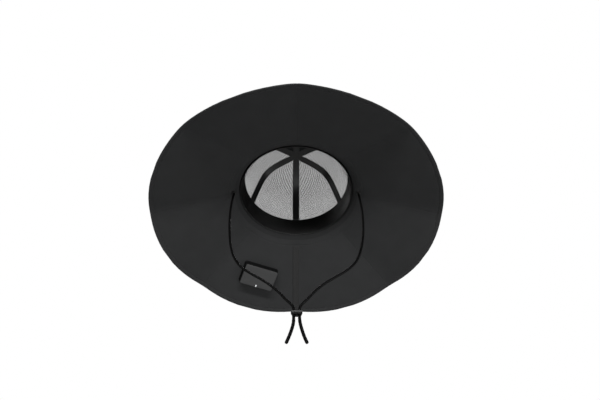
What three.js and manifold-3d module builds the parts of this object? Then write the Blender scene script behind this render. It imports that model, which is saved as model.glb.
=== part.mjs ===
// A wide-brimmed sun hat whose stiff brim carries eight solar panels.
// Millimetres, +Z up, the front of the hat towards -Y. The origin is the centre of the head opening,
// level with the lower edge of the sweatband.

import * as THREE from 'three';
import { mergeVertices } from 'three/addons/utils/BufferGeometryUtils.js';
import Module from 'manifold-3d';

const wasm = await Module();
wasm.setup();

// Driving dimensions
const GAP = 0.3;
const RIM_RADIUS = 235;
const BRIM_SIDES = 8;
const BRIM_SLOPE = 0.391;
const BRIM_THICKNESS = 2.2;
const BRIM_INNER_RADIUS = 95.9;
const BRIM_INNER_Z = -0.5;
const FLAT_START_RADIUS = 114;
const FLAT_REFERENCE = { radius: 105, z: -9.5 };
const AROUND = 72;

const SWEATBAND = { lowerRadius: 94, upperRadius: 90.6, height: 32.9, thickness: 1.5 };
const CROWN_BAND_THICKNESS = 1.3;
const CLOTH_GAP = 0.4;

const GORES = 6;
const GORE_THICKNESS = 1.2;
const TAPE_WIDTH = 11;
const TAPE_THICKNESS = 0.9;
const APEX_RADIUS = 1;

const PANEL = { innerDistance: 124, outerRadius: 226, sideMargin: 6, cornerRadius: 6, thickness: 1.6 };
const REAR_TAPE = { innerRadius: 115, outerRadius: 230, thickness: 0.8 };

const BOX = { length: 58.5, width: 36.5, height: 14, draft: 1.5, alongSlope: 185.3, aside: 1.75 };
const LIGHT = { length: 5.6, width: 2.8, depth: 1.2, pocketDepth: 0.8, fromEdge: 5 };

const CORD_DIAMETER = 3.4;
const ANCHOR = { x: 104, y: -4.2, outerRadius: 3.2, below: 2.4, above: 2.9, roof: 1.4 };

const LOCK = { width: 16.5, height: 5.5, holeX: 4.2, holeY: -1.35, topZ: -263, travel: 1.2, wall: 1 };

// Worked out from the driving dimensions
const SLOPE_ANGLE = Math.atan(BRIM_SLOPE);
const BRIM_RISE = BRIM_THICKNESS / Math.cos(SLOPE_ANGLE);
const HALF_SECTOR = Math.PI / BRIM_SIDES;
const ROUND_COSINE = Math.sin(HALF_SECTOR) / HALF_SECTOR;
const FRONT = -Math.PI / 2;
const GORE_ANGLE = (2 * Math.PI) / GORES;
const CORD_RADIUS = CORD_DIAMETER / 2;
const CORD_HOLE_RADIUS = CORD_RADIUS + GAP;

// Height of the flat underside planes above the origin, where they would meet the hat's axis
const FLAT_AXIS_Z = FLAT_REFERENCE.z + BRIM_SLOPE * FLAT_REFERENCE.radius;

// Crown line from the top of the sweatband to the apex, as distance from the axis and height
const CROWN_LINE = new THREE.CubicBezierCurve(
  new THREE.Vector2(SWEATBAND.upperRadius, SWEATBAND.height + CLOTH_GAP),
  new THREE.Vector2(64.9, 102.6),
  new THREE.Vector2(67.3, 106.7),
  new THREE.Vector2(0, 106.7),
);
const CROWN_STEPS = 12;

// Finishes of the pieces
const FINISHES = {
  brim_fabric: { color: 0x2c2d30, roughness: 0.85, metalness: 0 },
  crown_fabric: { color: 0x26272a, roughness: 0.9, metalness: 0 },
  net: { color: 0x3a3b3e, roughness: 0.9, metalness: 0 },
  sweatband_fabric: { color: 0x141416, roughness: 0.55, metalness: 0 },
  tape: { color: 0x1a1a1c, roughness: 0.7, metalness: 0 },
  solar_cell: { color: 0x0d1017, roughness: 0.25, metalness: 0.1 },
  box_plastic: { color: 0x3c3d40, roughness: 0.6, metalness: 0 },
  light: { color: 0xe8ecef, roughness: 0.3, metalness: 0 },
  anchor_metal: { color: 0x121214, roughness: 0.4, metalness: 0.6 },
  cord: { color: 0x17171a, roughness: 0.8, metalness: 0 },
  lock_plastic: { color: 0x111113, roughness: 0.45, metalness: 0 },
  button_plastic: { color: 0x8f9194, roughness: 0.45, metalness: 0 },
};

function piece(name, geometry, finish) {
  const mesh = new THREE.Mesh(geometry, new THREE.MeshStandardMaterial(FINISHES[finish]));
  mesh.name = name;
  return mesh;
}

function polar(radius, angle, z) {
  return new THREE.Vector3(radius * Math.cos(angle), radius * Math.sin(angle), z);
}

// Closed body skinned through rings of points. A ring lists one side of the cloth from edge to edge
// and then the other side back, so an open run is capped by rungs between the two sides.
function skin(rings, closed) {
  const count = rings[0].length;
  const index = [];
  const spans = closed ? rings.length : rings.length - 1;
  for (let i = 0; i < spans; i += 1) {
    const here = i * count;
    const next = ((i + 1) % rings.length) * count;
    for (let j = 0; j < count; j += 1) {
      const k = (j + 1) % count;
      index.push(here + j, next + j, next + k, here + j, next + k, here + k);
    }
  }
  if (!closed) {
    const last = (rings.length - 1) * count;
    for (let j = 0; j < count / 2 - 1; j += 1) {
      const back = count - 1 - j;
      index.push(j, j + 1, back - 1, j, back - 1, back);
      index.push(last + j, last + back - 1, last + j + 1, last + j, last + back, last + back - 1);
    }
  }
  const geometry = new THREE.BufferGeometry();
  const positions = rings.flat().flatMap((point) => point.toArray());
  geometry.setAttribute('position', new THREE.Float32BufferAttribute(positions, 3));
  geometry.setIndex(signedVolume(positions, index) < 0 ? index.reverse() : index);
  geometry.computeVertexNormals();
  return geometry;
}

function signedVolume(positions, index) {
  const [a, b, c] = [new THREE.Vector3(), new THREE.Vector3(), new THREE.Vector3()];
  let total = 0;
  for (let i = 0; i < index.length; i += 3) {
    a.fromArray(positions, 3 * index[i]);
    b.fromArray(positions, 3 * index[i + 1]);
    c.fromArray(positions, 3 * index[i + 2]);
    total += a.dot(b.cross(c)) / 6;
  }
  return total;
}

// Cutting and joining of closed meshes
function toSolid(geometry) {
  const bare = geometry.clone();
  bare.deleteAttribute('normal');
  bare.deleteAttribute('uv');
  const merged = mergeVertices(bare, 1e-4);
  return new wasm.Manifold(new wasm.Mesh({
    numProp: 3,
    vertProperties: new Float32Array(merged.attributes.position.array),
    triVerts: new Uint32Array(merged.index.array),
  }));
}

function toGeometry(solid) {
  const mesh = solid.getMesh();
  const geometry = new THREE.BufferGeometry();
  geometry.setAttribute('position', new THREE.BufferAttribute(mesh.vertProperties, 3));
  geometry.setIndex(new THREE.BufferAttribute(mesh.triVerts, 1));
  geometry.computeVertexNormals();
  return geometry;
}

function cut(geometry, tools) {
  return toGeometry(tools.reduce((solid, tool) => solid.subtract(toSolid(tool)), toSolid(geometry)));
}

function join(geometries) {
  return toGeometry(geometries.map(toSolid).reduce((whole, next) => whole.add(next)));
}

function upright(radius, bottomZ, topZ, x, y) {
  const height = topZ - bottomZ;
  const geometry = new THREE.CylinderGeometry(radius, radius, height, 12);
  geometry.rotateX(Math.PI / 2);
  return geometry.translate(x, y, bottomZ + height / 2);
}

function block(width, depth, height, x, y, z) {
  return new THREE.BoxGeometry(width, depth, height).translate(x, y, z);
}

function roundedRectangle(halfWidth, halfDepth, radius) {
  const shape = new THREE.Shape();
  shape.absarc(halfWidth - radius, halfDepth - radius, radius, 0, Math.PI / 2);
  shape.absarc(radius - halfWidth, halfDepth - radius, radius, Math.PI / 2, Math.PI);
  shape.absarc(radius - halfWidth, radius - halfDepth, radius, Math.PI, 1.5 * Math.PI);
  shape.absarc(halfWidth - radius, radius - halfDepth, radius, 1.5 * Math.PI, 2 * Math.PI);
  return shape;
}

// Underside of the brim: eight flat sectors that fall outwards, and a collar that fades from them
// into a round edge and curls up to the sweatband.
function undersideZ(radius, angle) {
  const fromSectorMiddle = ((angle - FRONT) % (2 * HALF_SECTOR)) - HALF_SECTOR;
  const flatness = THREE.MathUtils.smoothstep(radius, 99, FLAT_START_RADIUS);
  const cosine = THREE.MathUtils.lerp(ROUND_COSINE, Math.cos(fromSectorMiddle), flatness);
  const curl = Math.max(0, 1 - (radius - BRIM_INNER_RADIUS) / (FLAT_START_RADIUS - BRIM_INNER_RADIUS));
  return FLAT_AXIS_Z - BRIM_SLOPE * radius * cosine + COLLAR_LIFT * curl ** 2;
}
const COLLAR_LIFT = BRIM_INNER_Z - FLAT_AXIS_Z + BRIM_SLOPE * BRIM_INNER_RADIUS * ROUND_COSINE;

function makeBrimCollar() {
  const radii = [BRIM_INNER_RADIUS, 98.5, 101.5, 105, 109, FLAT_START_RADIUS];
  const rings = Array.from({ length: AROUND }, (_, i) => {
    const angle = FRONT + (i * 2 * Math.PI) / AROUND;
    const under = radii.map((radius) => polar(radius, angle, undersideZ(radius, angle)));
    const over = under.map((point) => point.clone().setZ(point.z + BRIM_RISE)).reverse();
    return [...under, ...over];
  });
  const holes = [-1, 1].map((side) => (
    upright(ANCHOR.outerRadius + GAP, -20, 10, side * ANCHOR.x, ANCHOR.y)
  ));
  return piece('brim_collar', cut(skin(rings, true), holes), 'brim_fabric');
}

// Points of an arc round the hat's axis, drawn in the plane of one flat sector
function arcInSector(radius, halfAngle, steps) {
  return Array.from({ length: steps + 1 }, (_, i) => {
    const turn = halfAngle * ((2 * i) / steps - 1);
    return new THREE.Vector2((radius * Math.cos(turn)) / Math.cos(SLOPE_ANGLE), radius * Math.sin(turn));
  });
}

function makeBrimSector(sector) {
  const halfAngle = (radius) => HALF_SECTOR - Math.asin(GAP / 2 / radius);
  const innerRadius = FLAT_START_RADIUS + GAP;
  const outerRadius = RIM_RADIUS - BRIM_THICKNESS * Math.sin(SLOPE_ANGLE);
  const outline = new THREE.Shape([
    ...arcInSector(outerRadius, halfAngle(outerRadius), 10),
    ...arcInSector(innerRadius, halfAngle(innerRadius), 9).reverse(),
  ]);
  const geometry = new THREE.ExtrudeGeometry(outline, { depth: BRIM_THICKNESS, bevelEnabled: false });
  const group = sectorGroup(sector, FLAT_AXIS_Z, false);
  group.add(piece(`brim_sector_${sector + 1}`, geometry, 'brim_fabric'));
  return group;
}

// Lathed wall of cloth: its cross-section is a ring of distances from the axis and heights
function makeWall(name, section, finish) {
  const rings = Array.from({ length: AROUND }, (_, i) => {
    const angle = FRONT + (i * 2 * Math.PI) / AROUND;
    return section.map(([radius, z]) => polar(radius, angle, z));
  });
  return piece(name, skin(rings, true), finish);
}

function makeSweatband() {
  const { lowerRadius, upperRadius, height, thickness } = SWEATBAND;
  return makeWall('sweatband', [
    [lowerRadius, 1],
    [upperRadius, height],
    [upperRadius + thickness, height],
    [lowerRadius + thickness, 1],
    [lowerRadius + 0.75 * thickness, 0],
    [lowerRadius + 0.25 * thickness, 0],
  ], 'sweatband_fabric');
}

function makeCrownBand() {
  const { lowerRadius, upperRadius, height, thickness } = SWEATBAND;
  const lower = lowerRadius + thickness + CLOTH_GAP;
  const upper = upperRadius + thickness + CLOTH_GAP;
  const footZ = (radius) => undersideZ(radius, FRONT) + BRIM_RISE + CLOTH_GAP;
  return makeWall('crown_band', [
    [lower, footZ(lower)],
    [upper, height],
    [upper + CROWN_BAND_THICKNESS, height],
    [lower + CROWN_BAND_THICKNESS, footZ(lower + CROWN_BAND_THICKNESS)],
  ], 'crown_fabric');
}

// Crown: six gores of one curved surface, with a tape over each seam inside
function crownPoint(along, angle, sideways, offset) {
  const line = CROWN_LINE.getPoint(along);
  const heading = CROWN_LINE.getTangent(along);
  const radius = line.x + offset * heading.y;
  const turn = Math.asin(THREE.MathUtils.clamp(sideways / radius, -0.5, 0.5));
  return polar(radius, angle + turn, line.y - offset * heading.x);
}

const CROWN_END = (() => {
  let along = 1;
  while (CROWN_LINE.getPoint(along).x < APEX_RADIUS) along -= 0.0005;
  return along;
})();
const CROWN_ALONG = Array.from({ length: CROWN_STEPS + 1 }, (_, i) => (i / CROWN_STEPS) * CROWN_END);

function makeGore(name, middleAngle, finish) {
  const divisions = 8;
  const inside = TAPE_THICKNESS + GAP;
  const outside = inside + GORE_THICKNESS;
  const rings = Array.from({ length: divisions + 1 }, (_, i) => {
    const share = (2 * i) / divisions - 1;
    const line = (offset) => CROWN_ALONG.map((along) => {
      const radius = CROWN_LINE.getPoint(along).x + offset * CROWN_LINE.getTangent(along).y;
      const halfAngle = GORE_ANGLE / 2 - Math.asin(GAP / 2 / radius);
      return crownPoint(along, middleAngle + share * halfAngle, 0, offset);
    });
    return [...line(inside), ...line(outside).reverse()];
  });
  return piece(name, skin(rings, false), finish);
}

function makeCrownTape(name, angle) {
  const rings = CROWN_ALONG.map((along) => {
    const radius = CROWN_LINE.getPoint(along).x;
    const half = Math.min(TAPE_WIDTH / 2, radius / 2 - GAP / 2);
    const line = (offset) => [-half, 0, half].map((aside) => crownPoint(along, angle, aside, offset));
    return [...line(0), ...line(TAPE_THICKNESS).reverse()];
  });
  return piece(name, skin(rings, false), 'tape');
}

function makeCrown() {
  const gores = [
    ['mesh_panel_right', 'net'],
    ['mesh_panel_rear_right', 'net'],
    ['mesh_panel_rear_left', 'net'],
    ['mesh_panel_left', 'net'],
    ['front_panel_left', 'crown_fabric'],
    ['front_panel_right', 'crown_fabric'],
  ];
  const tapes = ['rear_right', 'rear', 'rear_left', 'front_left', 'front', 'front_right'];
  const crown = new THREE.Group();
  gores.forEach(([name, finish], i) => crown.add(makeGore(name, i * GORE_ANGLE, finish)));
  tapes.forEach((place, i) => {
    crown.add(makeCrownTape(`seam_tape_${place}`, (i + 0.5) * GORE_ANGLE));
  });
  return crown;
}

// Frame of one flat sector: X down the slope, Y along the rim, Z out of the top. Its origin is where
// the plane meets the hat's axis. The lower frame has X along the rim, Y down the slope, Z downwards.
function sectorGroup(sector, z, facingDown) {
  const angle = FRONT + (2 * sector + 1) * HALF_SECTOR;
  const downSlope = polar(Math.cos(SLOPE_ANGLE), angle, -Math.sin(SLOPE_ANGLE));
  const alongRim = polar(1, angle + Math.PI / 2, 0);
  const normal = new THREE.Vector3().crossVectors(downSlope, alongRim);
  const basis = new THREE.Matrix4();
  if (facingDown) basis.makeBasis(alongRim, downSlope, normal.negate());
  else basis.makeBasis(downSlope, alongRim, normal);
  const group = new THREE.Group();
  group.applyMatrix4(basis);
  group.position.z = z;
  return group;
}

function makeSolarPanel(sector) {
  const { innerDistance, outerRadius, sideMargin, cornerRadius, thickness } = PANEL;
  const stretch = 1 / Math.cos(SLOPE_ANGLE);
  const halfWidth = (distance) => distance * Math.tan(HALF_SECTOR) - sideMargin;
  const sideEnd = Math.sqrt(outerRadius ** 2 - 78 ** 2) - cornerRadius;
  const arcHalfAngle = Math.asin((halfWidth(sideEnd) - 2) / outerRadius);
  const inner = innerDistance * stretch;
  const shape = new THREE.Shape();
  shape.moveTo(inner, halfWidth(innerDistance) - cornerRadius);
  shape.quadraticCurveTo(
    inner, halfWidth(innerDistance),
    inner + cornerRadius, halfWidth(innerDistance + cornerRadius / stretch),
  );
  shape.lineTo(sideEnd * stretch, halfWidth(sideEnd));
  arcInSector(outerRadius, arcHalfAngle, 6).reverse().forEach((point) => shape.lineTo(point.x, point.y));
  shape.lineTo(sideEnd * stretch, -halfWidth(sideEnd));
  shape.lineTo(inner + cornerRadius, -halfWidth(innerDistance + cornerRadius / stretch));
  shape.quadraticCurveTo(
    inner, -halfWidth(innerDistance),
    inner, cornerRadius - halfWidth(innerDistance),
  );
  const geometry = new THREE.ExtrudeGeometry(shape, {
    depth: thickness, bevelEnabled: false, curveSegments: 3,
  });
  geometry.translate(0, 0, GAP);
  const group = sectorGroup(sector, FLAT_AXIS_Z + BRIM_RISE, false);
  group.add(piece(`solar_panel_${sector + 1}`, geometry, 'solar_cell'));
  return group;
}

// Flat tape over the rear seam of the brim, folded along the seam
function makeRearBrimTape() {
  const { innerRadius, outerRadius, thickness } = REAR_TAPE;
  const drop = GAP / Math.cos(SLOPE_ANGLE);
  const rings = [innerRadius, outerRadius].map((radius) => {
    const line = (depth) => [-1, 0, 1].map((side) => {
      const angle = -FRONT + Math.asin((side * TAPE_WIDTH) / 2 / radius);
      return polar(radius, angle, undersideZ(radius, angle) - depth);
    });
    return [...line(drop), ...line(drop + thickness).reverse()];
  });
  return piece('rear_brim_tape', skin(rings, false), 'tape');
}

// Charging box under the rear left sector, drafted towards its rounded face, with a small light
function makeJunctionBox() {
  const { length, width, height, draft, alongSlope, aside } = BOX;
  const levels = [
    { depth: GAP, outset: draft, corner: 4 },
    { depth: height - 2.4, outset: 0.2, corner: 4 },
    { depth: height - 0.7, outset: -0.5, corner: 3.5 },
    { depth: height, outset: -1.6, corner: 2.8 },
  ];
  const rings = levels.map(({ depth, outset, corner }) => {
    const outline = roundedRectangle(length / 2 + outset, width / 2 + outset, corner).getPoints(4);
    return dropRepeats(outline).map((point) => new THREE.Vector3(point.x, point.y, depth));
  });
  const lightY = width / 2 - LIGHT.fromEdge;
  const pocket = block(
    LIGHT.width + 2 * GAP, LIGHT.length + 2 * GAP, 2 * LIGHT.pocketDepth, 0, lightY, height,
  );
  const lens = new THREE.ExtrudeGeometry(
    roundedRectangle(LIGHT.width / 2, LIGHT.length / 2, 1),
    { depth: LIGHT.depth - 0.3, bevelThickness: 0.3, bevelSize: 0.3, bevelOffset: -0.3,
      bevelSegments: 1, curveSegments: 3 },
  );
  lens.translate(0, lightY, height - LIGHT.pocketDepth + GAP + 0.3);
  const box = new THREE.Group();
  box.position.set(aside, alongSlope, 0);
  box.add(piece('junction_box', cut(skin(rings, false), [pocket]), 'box_plastic'));
  box.add(piece('status_light', lens, 'light'));
  const rearLeftSector = 4;
  const group = sectorGroup(rearLeftSector, FLAT_AXIS_Z, true);
  group.add(box);
  return group;
}

function dropRepeats(points) {
  return points.filter((point, i) => point.distanceTo(points.at(i - 1)) > 1e-6);
}

// Grommet through the brim that holds the end of a cord in a blind hole
function makeCordAnchor(name, side) {
  const seatZ = undersideZ(ANCHOR.x, side > 0 ? 0 : Math.PI);
  const { outerRadius, below, above, roof } = ANCHOR;
  const roofZ = above - roof;
  const profile = [
    [0, roofZ],
    [CORD_HOLE_RADIUS, roofZ],
    [CORD_HOLE_RADIUS, 0.5 - below],
    [CORD_HOLE_RADIUS + 0.3, -below],
    [outerRadius - 0.3, -below],
    [outerRadius, 0.3 - below],
    [outerRadius, above - 0.8],
    [outerRadius - 0.8, above],
    [0, above],
  ].map(([radius, z]) => new THREE.Vector2(radius, z));
  const geometry = new THREE.LatheGeometry(profile, 12);
  geometry.rotateX(Math.PI / 2);
  const anchor = piece(name, geometry, 'anchor_metal');
  anchor.position.set(side * ANCHOR.x, ANCHOR.y, seatZ);
  return anchor;
}

// Chin cords: distance from the middle of the hat and height, from the grommet to the sealed tip.
// Each cord hangs from its grommet, swings in to the lock and ends in a short tail.
const CORD_TOP_Z = undersideZ(ANCHOR.x, 0) + ANCHOR.above - ANCHOR.roof - GAP;
const CORD_LEFT = [
  [104, CORD_TOP_Z], [104, -9], [104.7, -18], [105.7, -32], [106.2, -50], [105.6, -75], [103.6, -103],
  [100.8, -126], [96.4, -147], [89.8, -164.5], [79.5, -180], [65, -192.5], [49, -204.5],
  [35.5, -216.3], [23.5, -229.5], [14.8, -241.5], [7.8, -249.6], [4.9, -254.4], [4.2, -258.6],
  [4.2, -265.7], [4.2, -270], [4, -276], [4.6, -284.5], [6.9, -296], [9.9, -307.3], [13, -317.9],
];
const CORD_RIGHT = [
  [104, CORD_TOP_Z], [104, -9], [104.7, -18], [105.7, -32], [106.3, -50], [105.9, -75], [104.2, -101],
  [101, -124], [95.9, -147], [90, -163], [80.5, -178], [67.5, -190], [53.6, -200.6],
  [40, -211.5], [28.5, -223], [18.5, -236], [10.2, -246.6], [5.6, -253.2], [4.2, -258.6],
  [4.2, -265.7], [4.2, -270], [4, -276], [5, -285], [7.3, -297], [9.9, -308], [12.9, -317.9],
];

function makeCord(name, side, route) {
  const points = route.map(([x, z]) => {
    const hung = THREE.MathUtils.clamp(z / (LOCK.topZ + 1), 0, 1);
    return new THREE.Vector3(side * x, THREE.MathUtils.lerp(ANCHOR.y, LOCK.holeY, hung), z);
  });
  const section = new THREE.Shape();
  const sides = 8;
  for (let i = 0; i < sides; i += 1) {
    const turn = (i * 2 * Math.PI) / sides;
    const move = i === 0 ? 'moveTo' : 'lineTo';
    section[move](CORD_RADIUS * Math.cos(turn), CORD_RADIUS * Math.sin(turn));
  }
  const path = new THREE.CatmullRomCurve3(points, false, 'centripetal');
  const geometry = new THREE.ExtrudeGeometry(section, { steps: 39, extrudePath: path });
  return piece(name, geometry, 'cord');
}

// Spring cord lock: a body with two upright holes, and a button that slides into its front face
function makeLock() {
  const { width, height, holeX, holeY, topZ, travel, wall } = LOCK;
  const middleZ = topZ - height / 2;
  const slabThickness = 2.4;
  const slabHalfWidth = 7;
  const frontY = -CORD_HOLE_RADIUS - travel - 0.2;
  const slabEndY = CORD_HOLE_RADIUS + 0.8;
  const pocketEndY = slabEndY + travel + GAP;
  const rearY = pocketEndY + wall;
  const bevel = 0.5;

  const depth = rearY - frontY;
  const outline = roundedRectangle(width / 2, depth / 2, 2.2);
  [-1, 1].forEach((side) => {
    outline.holes.push(circle(side * holeX, -(frontY + rearY) / 2, CORD_HOLE_RADIUS));
  });
  const body = new THREE.ExtrudeGeometry(outline, {
    depth: height - 2 * bevel, bevelThickness: bevel, bevelSize: bevel, bevelOffset: -bevel,
    bevelSegments: 1, curveSegments: 3,
  });
  body.translate(0, (frontY + rearY) / 2, bevel - height / 2);
  const pocket = block(
    2 * (slabHalfWidth + GAP), 2 * (pocketEndY - frontY), slabThickness + 2 * GAP, 0, frontY, 0,
  );

  const headThickness = 1.2;
  const headFrontY = frontY - travel - 0.25 - headThickness;
  const slab = new THREE.Shape();
  slab.moveTo(-slabHalfWidth, headFrontY + 0.5);
  slab.lineTo(slabHalfWidth, headFrontY + 0.5);
  slab.lineTo(slabHalfWidth, slabEndY);
  slab.lineTo(-slabHalfWidth, slabEndY);
  [-1, 1].forEach((side) => slab.holes.push(slot(side * holeX, travel, CORD_HOLE_RADIUS)));
  const slabSolid = new THREE.ExtrudeGeometry(slab, {
    depth: slabThickness, bevelEnabled: false, curveSegments: 3,
  });
  slabSolid.translate(0, 0, -slabThickness / 2);
  const head = new THREE.ExtrudeGeometry(roundedRectangle(7.5, 2.1, 1), {
    depth: headThickness - 0.6, bevelThickness: 0.3, bevelSize: 0.3, bevelOffset: -0.3,
    bevelSegments: 1, curveSegments: 3,
  });
  head.rotateX(Math.PI / 2);
  head.translate(0, headFrontY + headThickness - 0.3, 0);

  const lock = new THREE.Group();
  lock.position.set(0, holeY, middleZ);
  lock.add(piece('lock_body', cut(body, [pocket]), 'lock_plastic'));
  lock.add(piece('lock_button', join([slabSolid, head]), 'button_plastic'));
  return lock;
}

function circle(x, y, radius) {
  const path = new THREE.Path();
  path.absarc(x, y, radius, 0, 2 * Math.PI);
  return path;
}

// Hole for a cord, lengthened towards the front by the button's travel
function slot(x, travel, radius) {
  const path = new THREE.Path();
  path.absarc(x, 0, radius, 0, Math.PI);
  path.absarc(x, -travel, radius, Math.PI, 2 * Math.PI);
  return path;
}

const hat = new THREE.Group();
hat.add(makeBrimCollar(), makeCrownBand(), makeSweatband(), makeCrown());
for (let sector = 0; sector < BRIM_SIDES; sector += 1) {
  hat.add(makeBrimSector(sector), makeSolarPanel(sector));
}
hat.add(makeRearBrimTape(), makeJunctionBox());
hat.add(makeCordAnchor('cord_anchor_left', -1), makeCordAnchor('cord_anchor_right', 1));
hat.add(makeCord('cord_left', -1, CORD_LEFT), makeCord('cord_right', 1, CORD_RIGHT));
hat.add(makeLock());

export default hat;
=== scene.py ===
# %% [markdown]
# # Dressing a solar panel hat
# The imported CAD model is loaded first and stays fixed. Every piece below is built round it in the
# same frame, and takes the place of a plain CAD solid. Lengths are written in millimetres, because
# a hat maker thinks in them, and one factor turns them into Blender's metres.

# %% Load the frame
import math
import bpy
import numpy as np
from mathutils import Matrix, Vector


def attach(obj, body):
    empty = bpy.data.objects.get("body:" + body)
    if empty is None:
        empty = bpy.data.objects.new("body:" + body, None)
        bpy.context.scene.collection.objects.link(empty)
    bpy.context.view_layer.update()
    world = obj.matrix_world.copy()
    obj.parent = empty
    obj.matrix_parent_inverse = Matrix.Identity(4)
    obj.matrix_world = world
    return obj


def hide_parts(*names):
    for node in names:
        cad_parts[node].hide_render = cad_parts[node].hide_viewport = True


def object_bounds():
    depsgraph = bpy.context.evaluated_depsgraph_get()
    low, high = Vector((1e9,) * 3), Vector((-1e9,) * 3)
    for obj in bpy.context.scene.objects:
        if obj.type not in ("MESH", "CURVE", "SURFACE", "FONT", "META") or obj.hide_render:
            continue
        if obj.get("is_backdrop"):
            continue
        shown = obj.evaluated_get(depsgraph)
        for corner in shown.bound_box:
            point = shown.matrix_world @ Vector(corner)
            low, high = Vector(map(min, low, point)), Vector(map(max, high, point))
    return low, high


MM = 0.001
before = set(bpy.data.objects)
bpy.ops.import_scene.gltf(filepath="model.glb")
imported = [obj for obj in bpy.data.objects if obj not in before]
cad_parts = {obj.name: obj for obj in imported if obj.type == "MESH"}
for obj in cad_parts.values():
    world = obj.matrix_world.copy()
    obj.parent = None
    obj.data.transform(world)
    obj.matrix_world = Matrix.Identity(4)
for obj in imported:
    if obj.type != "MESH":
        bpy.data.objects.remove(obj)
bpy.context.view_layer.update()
print("nodes in the frame:", len(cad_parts))

# %% [markdown]
# ## The camera
# The hat is seen from below and in front, as by somebody who looks up at it. A camera could be
# aimed with a Track To constraint, but three plain turns keep its slight tilt under control:
# first roll about the line of sight, then pitch up from the horizon, then yaw.

# %% Place the camera
def linked(name, data):
    """A new object in the scene."""
    thing = bpy.data.objects.new(name, data)
    bpy.context.scene.collection.objects.link(thing)
    return thing


camera = linked("camera", bpy.data.cameras.new("camera"))
bpy.context.scene.camera = camera
camera.data.sensor_width = 36.0
camera.data.lens = 37.91
pitch, yaw, roll = (math.radians(degrees) for degrees in (51.208, 0.949, -0.581))
camera.matrix_world = (
    Matrix.Translation(Vector((-4.7, -656.7, -836.7)) * MM)
    @ Matrix.Rotation(-yaw, 4, "Z")
    @ Matrix.Rotation(math.pi / 2 + pitch, 4, "X")
    @ Matrix.Rotation(roll, 4, "Z")
)
print("camera stands at", [round(v, 3) for v in camera.location])

# %% [markdown]
# ## Writing materials as sums
# A woven cloth is a height field made of sines, and a node tree for that is hard to read when it is
# wired by hand. Here a small class wraps one socket, so that `1 - mask` or `height * 0.5` adds the
# Math nodes by itself. Every other node comes from one method, which takes the node's type, its
# settings and the values or links of its sockets.

# %% A socket that can be added and multiplied
class Wire:
    """One output of a node tree. Arithmetic on it adds Math nodes."""

    def __init__(self, wiring, socket):
        self.wiring = wiring
        self.socket = socket

    def math(self, operation, *values):
        return self.wiring.node("Math", {"operation": operation}, dict(enumerate(values)))

    def __add__(self, other):
        return self.math("ADD", self, other)

    def __radd__(self, other):
        return self.math("ADD", other, self)

    def __sub__(self, other):
        return self.math("SUBTRACT", self, other)

    def __rsub__(self, other):
        return self.math("SUBTRACT", other, self)

    def __mul__(self, other):
        return self.math("MULTIPLY", self, other)

    def __rmul__(self, other):
        return self.math("MULTIPLY", other, self)

    def __truediv__(self, other):
        return self.math("DIVIDE", self, other)

    def __rtruediv__(self, other):
        return self.math("DIVIDE", other, self)

    def __pow__(self, other):
        return self.math("POWER", self, other)

    def __abs__(self):
        return self.math("ABSOLUTE", self)

    def sine(self):
        return self.math("SINE", self)

    def wave(self, pitch):
        """A sine from 0 to 1 with that pitch."""
        return 0.5 + 0.5 * (self * (2 * math.pi / pitch)).sine()

    def floor(self):
        return self.math("FLOOR", self)

    def fraction(self):
        return self.math("FRACT", self)

    def highest(self, other):
        return self.math("MAXIMUM", self, other)

    def step(self, low, high):
        """0 below low, 1 above high and a smooth step between them."""
        settings = {"interpolation_type": "SMOOTHSTEP"}
        sockets = {0: self, 1: low, 2: high, 3: 0.0, 4: 1.0}
        return self.wiring.node("MapRange", settings, sockets)


# %% A node tree that is written down as expressions
class Wiring:
    """The nodes of a material or of the world."""

    def __init__(self, tree):
        self.tree = tree

    def join(self, socket, value):
        if isinstance(value, Wire):
            self.tree.links.new(value.socket, socket)
        else:
            socket.default_value = value

    def node(self, kind, settings=None, sockets=None, output=0):
        """Any shader node: its settings come first, then the values or links of its sockets."""
        made = self.tree.nodes.new("ShaderNode" + kind)
        for name, value in (settings or {}).items():
            setattr(made, name, value)
        for name, value in (sockets or {}).items():
            self.join(made.inputs[name], value)
        return Wire(self, made.outputs[output])

    def blend(self, share, first, second):
        """A colour between two colours."""
        settings = {"data_type": "RGBA", "clamp_factor": True}
        return self.node("Mix", settings, {0: share, 6: first, 7: second}, 2)

    def parts(self, vector):
        """The x, y and z of a vector."""
        apart = self.node("SeparateXYZ", None, {0: vector}).socket.node
        return [Wire(self, output) for output in apart.outputs]


# %% A material round one Principled shader
class Finish(Wiring):
    """A surface finish of the hat."""

    def __init__(self, name, **constants):
        self.material = bpy.data.materials.new(name)
        self.material.use_nodes = True
        super().__init__(self.material.node_tree)
        self.shader = self.tree.nodes["Principled BSDF"]
        self.paint(**constants)

    def paint(self, **values):
        """Sets sockets of the shader by their names, and gives the material."""
        for words, value in values.items():
            name = words.replace("_", " ").title().replace("Ior", "IOR")
            self.join(self.shader.inputs[name], value)
        return self.material

    def cloth_place(self):
        """Place in the cloth, in metres across and along its threads."""
        return self.parts(self.node("UVMap", {"uv_map": "cloth"}))[:2]

    def place(self):
        """Place in the hat, in metres from the centre of the head opening."""
        return self.node("TexCoord", None, None, "Object")

    def noise(self, scale, detail=2.0, roughness=0.5):
        """Smooth noise from 0 to 1. Scale is in bumps a metre."""
        sockets = {"Scale": scale, "Detail": detail, "Roughness": roughness}
        return self.node("TexNoise", None, {"Vector": self.place(), **sockets})

    def greys(self, share, level, spread, tint=0.0):
        """A grey that goes up and down by that spread, as a share of its level."""
        return self.blend(share, grey(level * (1 - spread), tint), grey(level * (1 + spread), tint))

    def relief(self, height, depth, strength=1.0, under=None):
        """Bumps the surface by height, where 1 stands for depth in metres."""
        sockets = {"Height": height, "Distance": depth, "Strength": strength}
        if under is not None:
            sockets["Normal"] = under
        return self.node("Bump", None, sockets)


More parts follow.
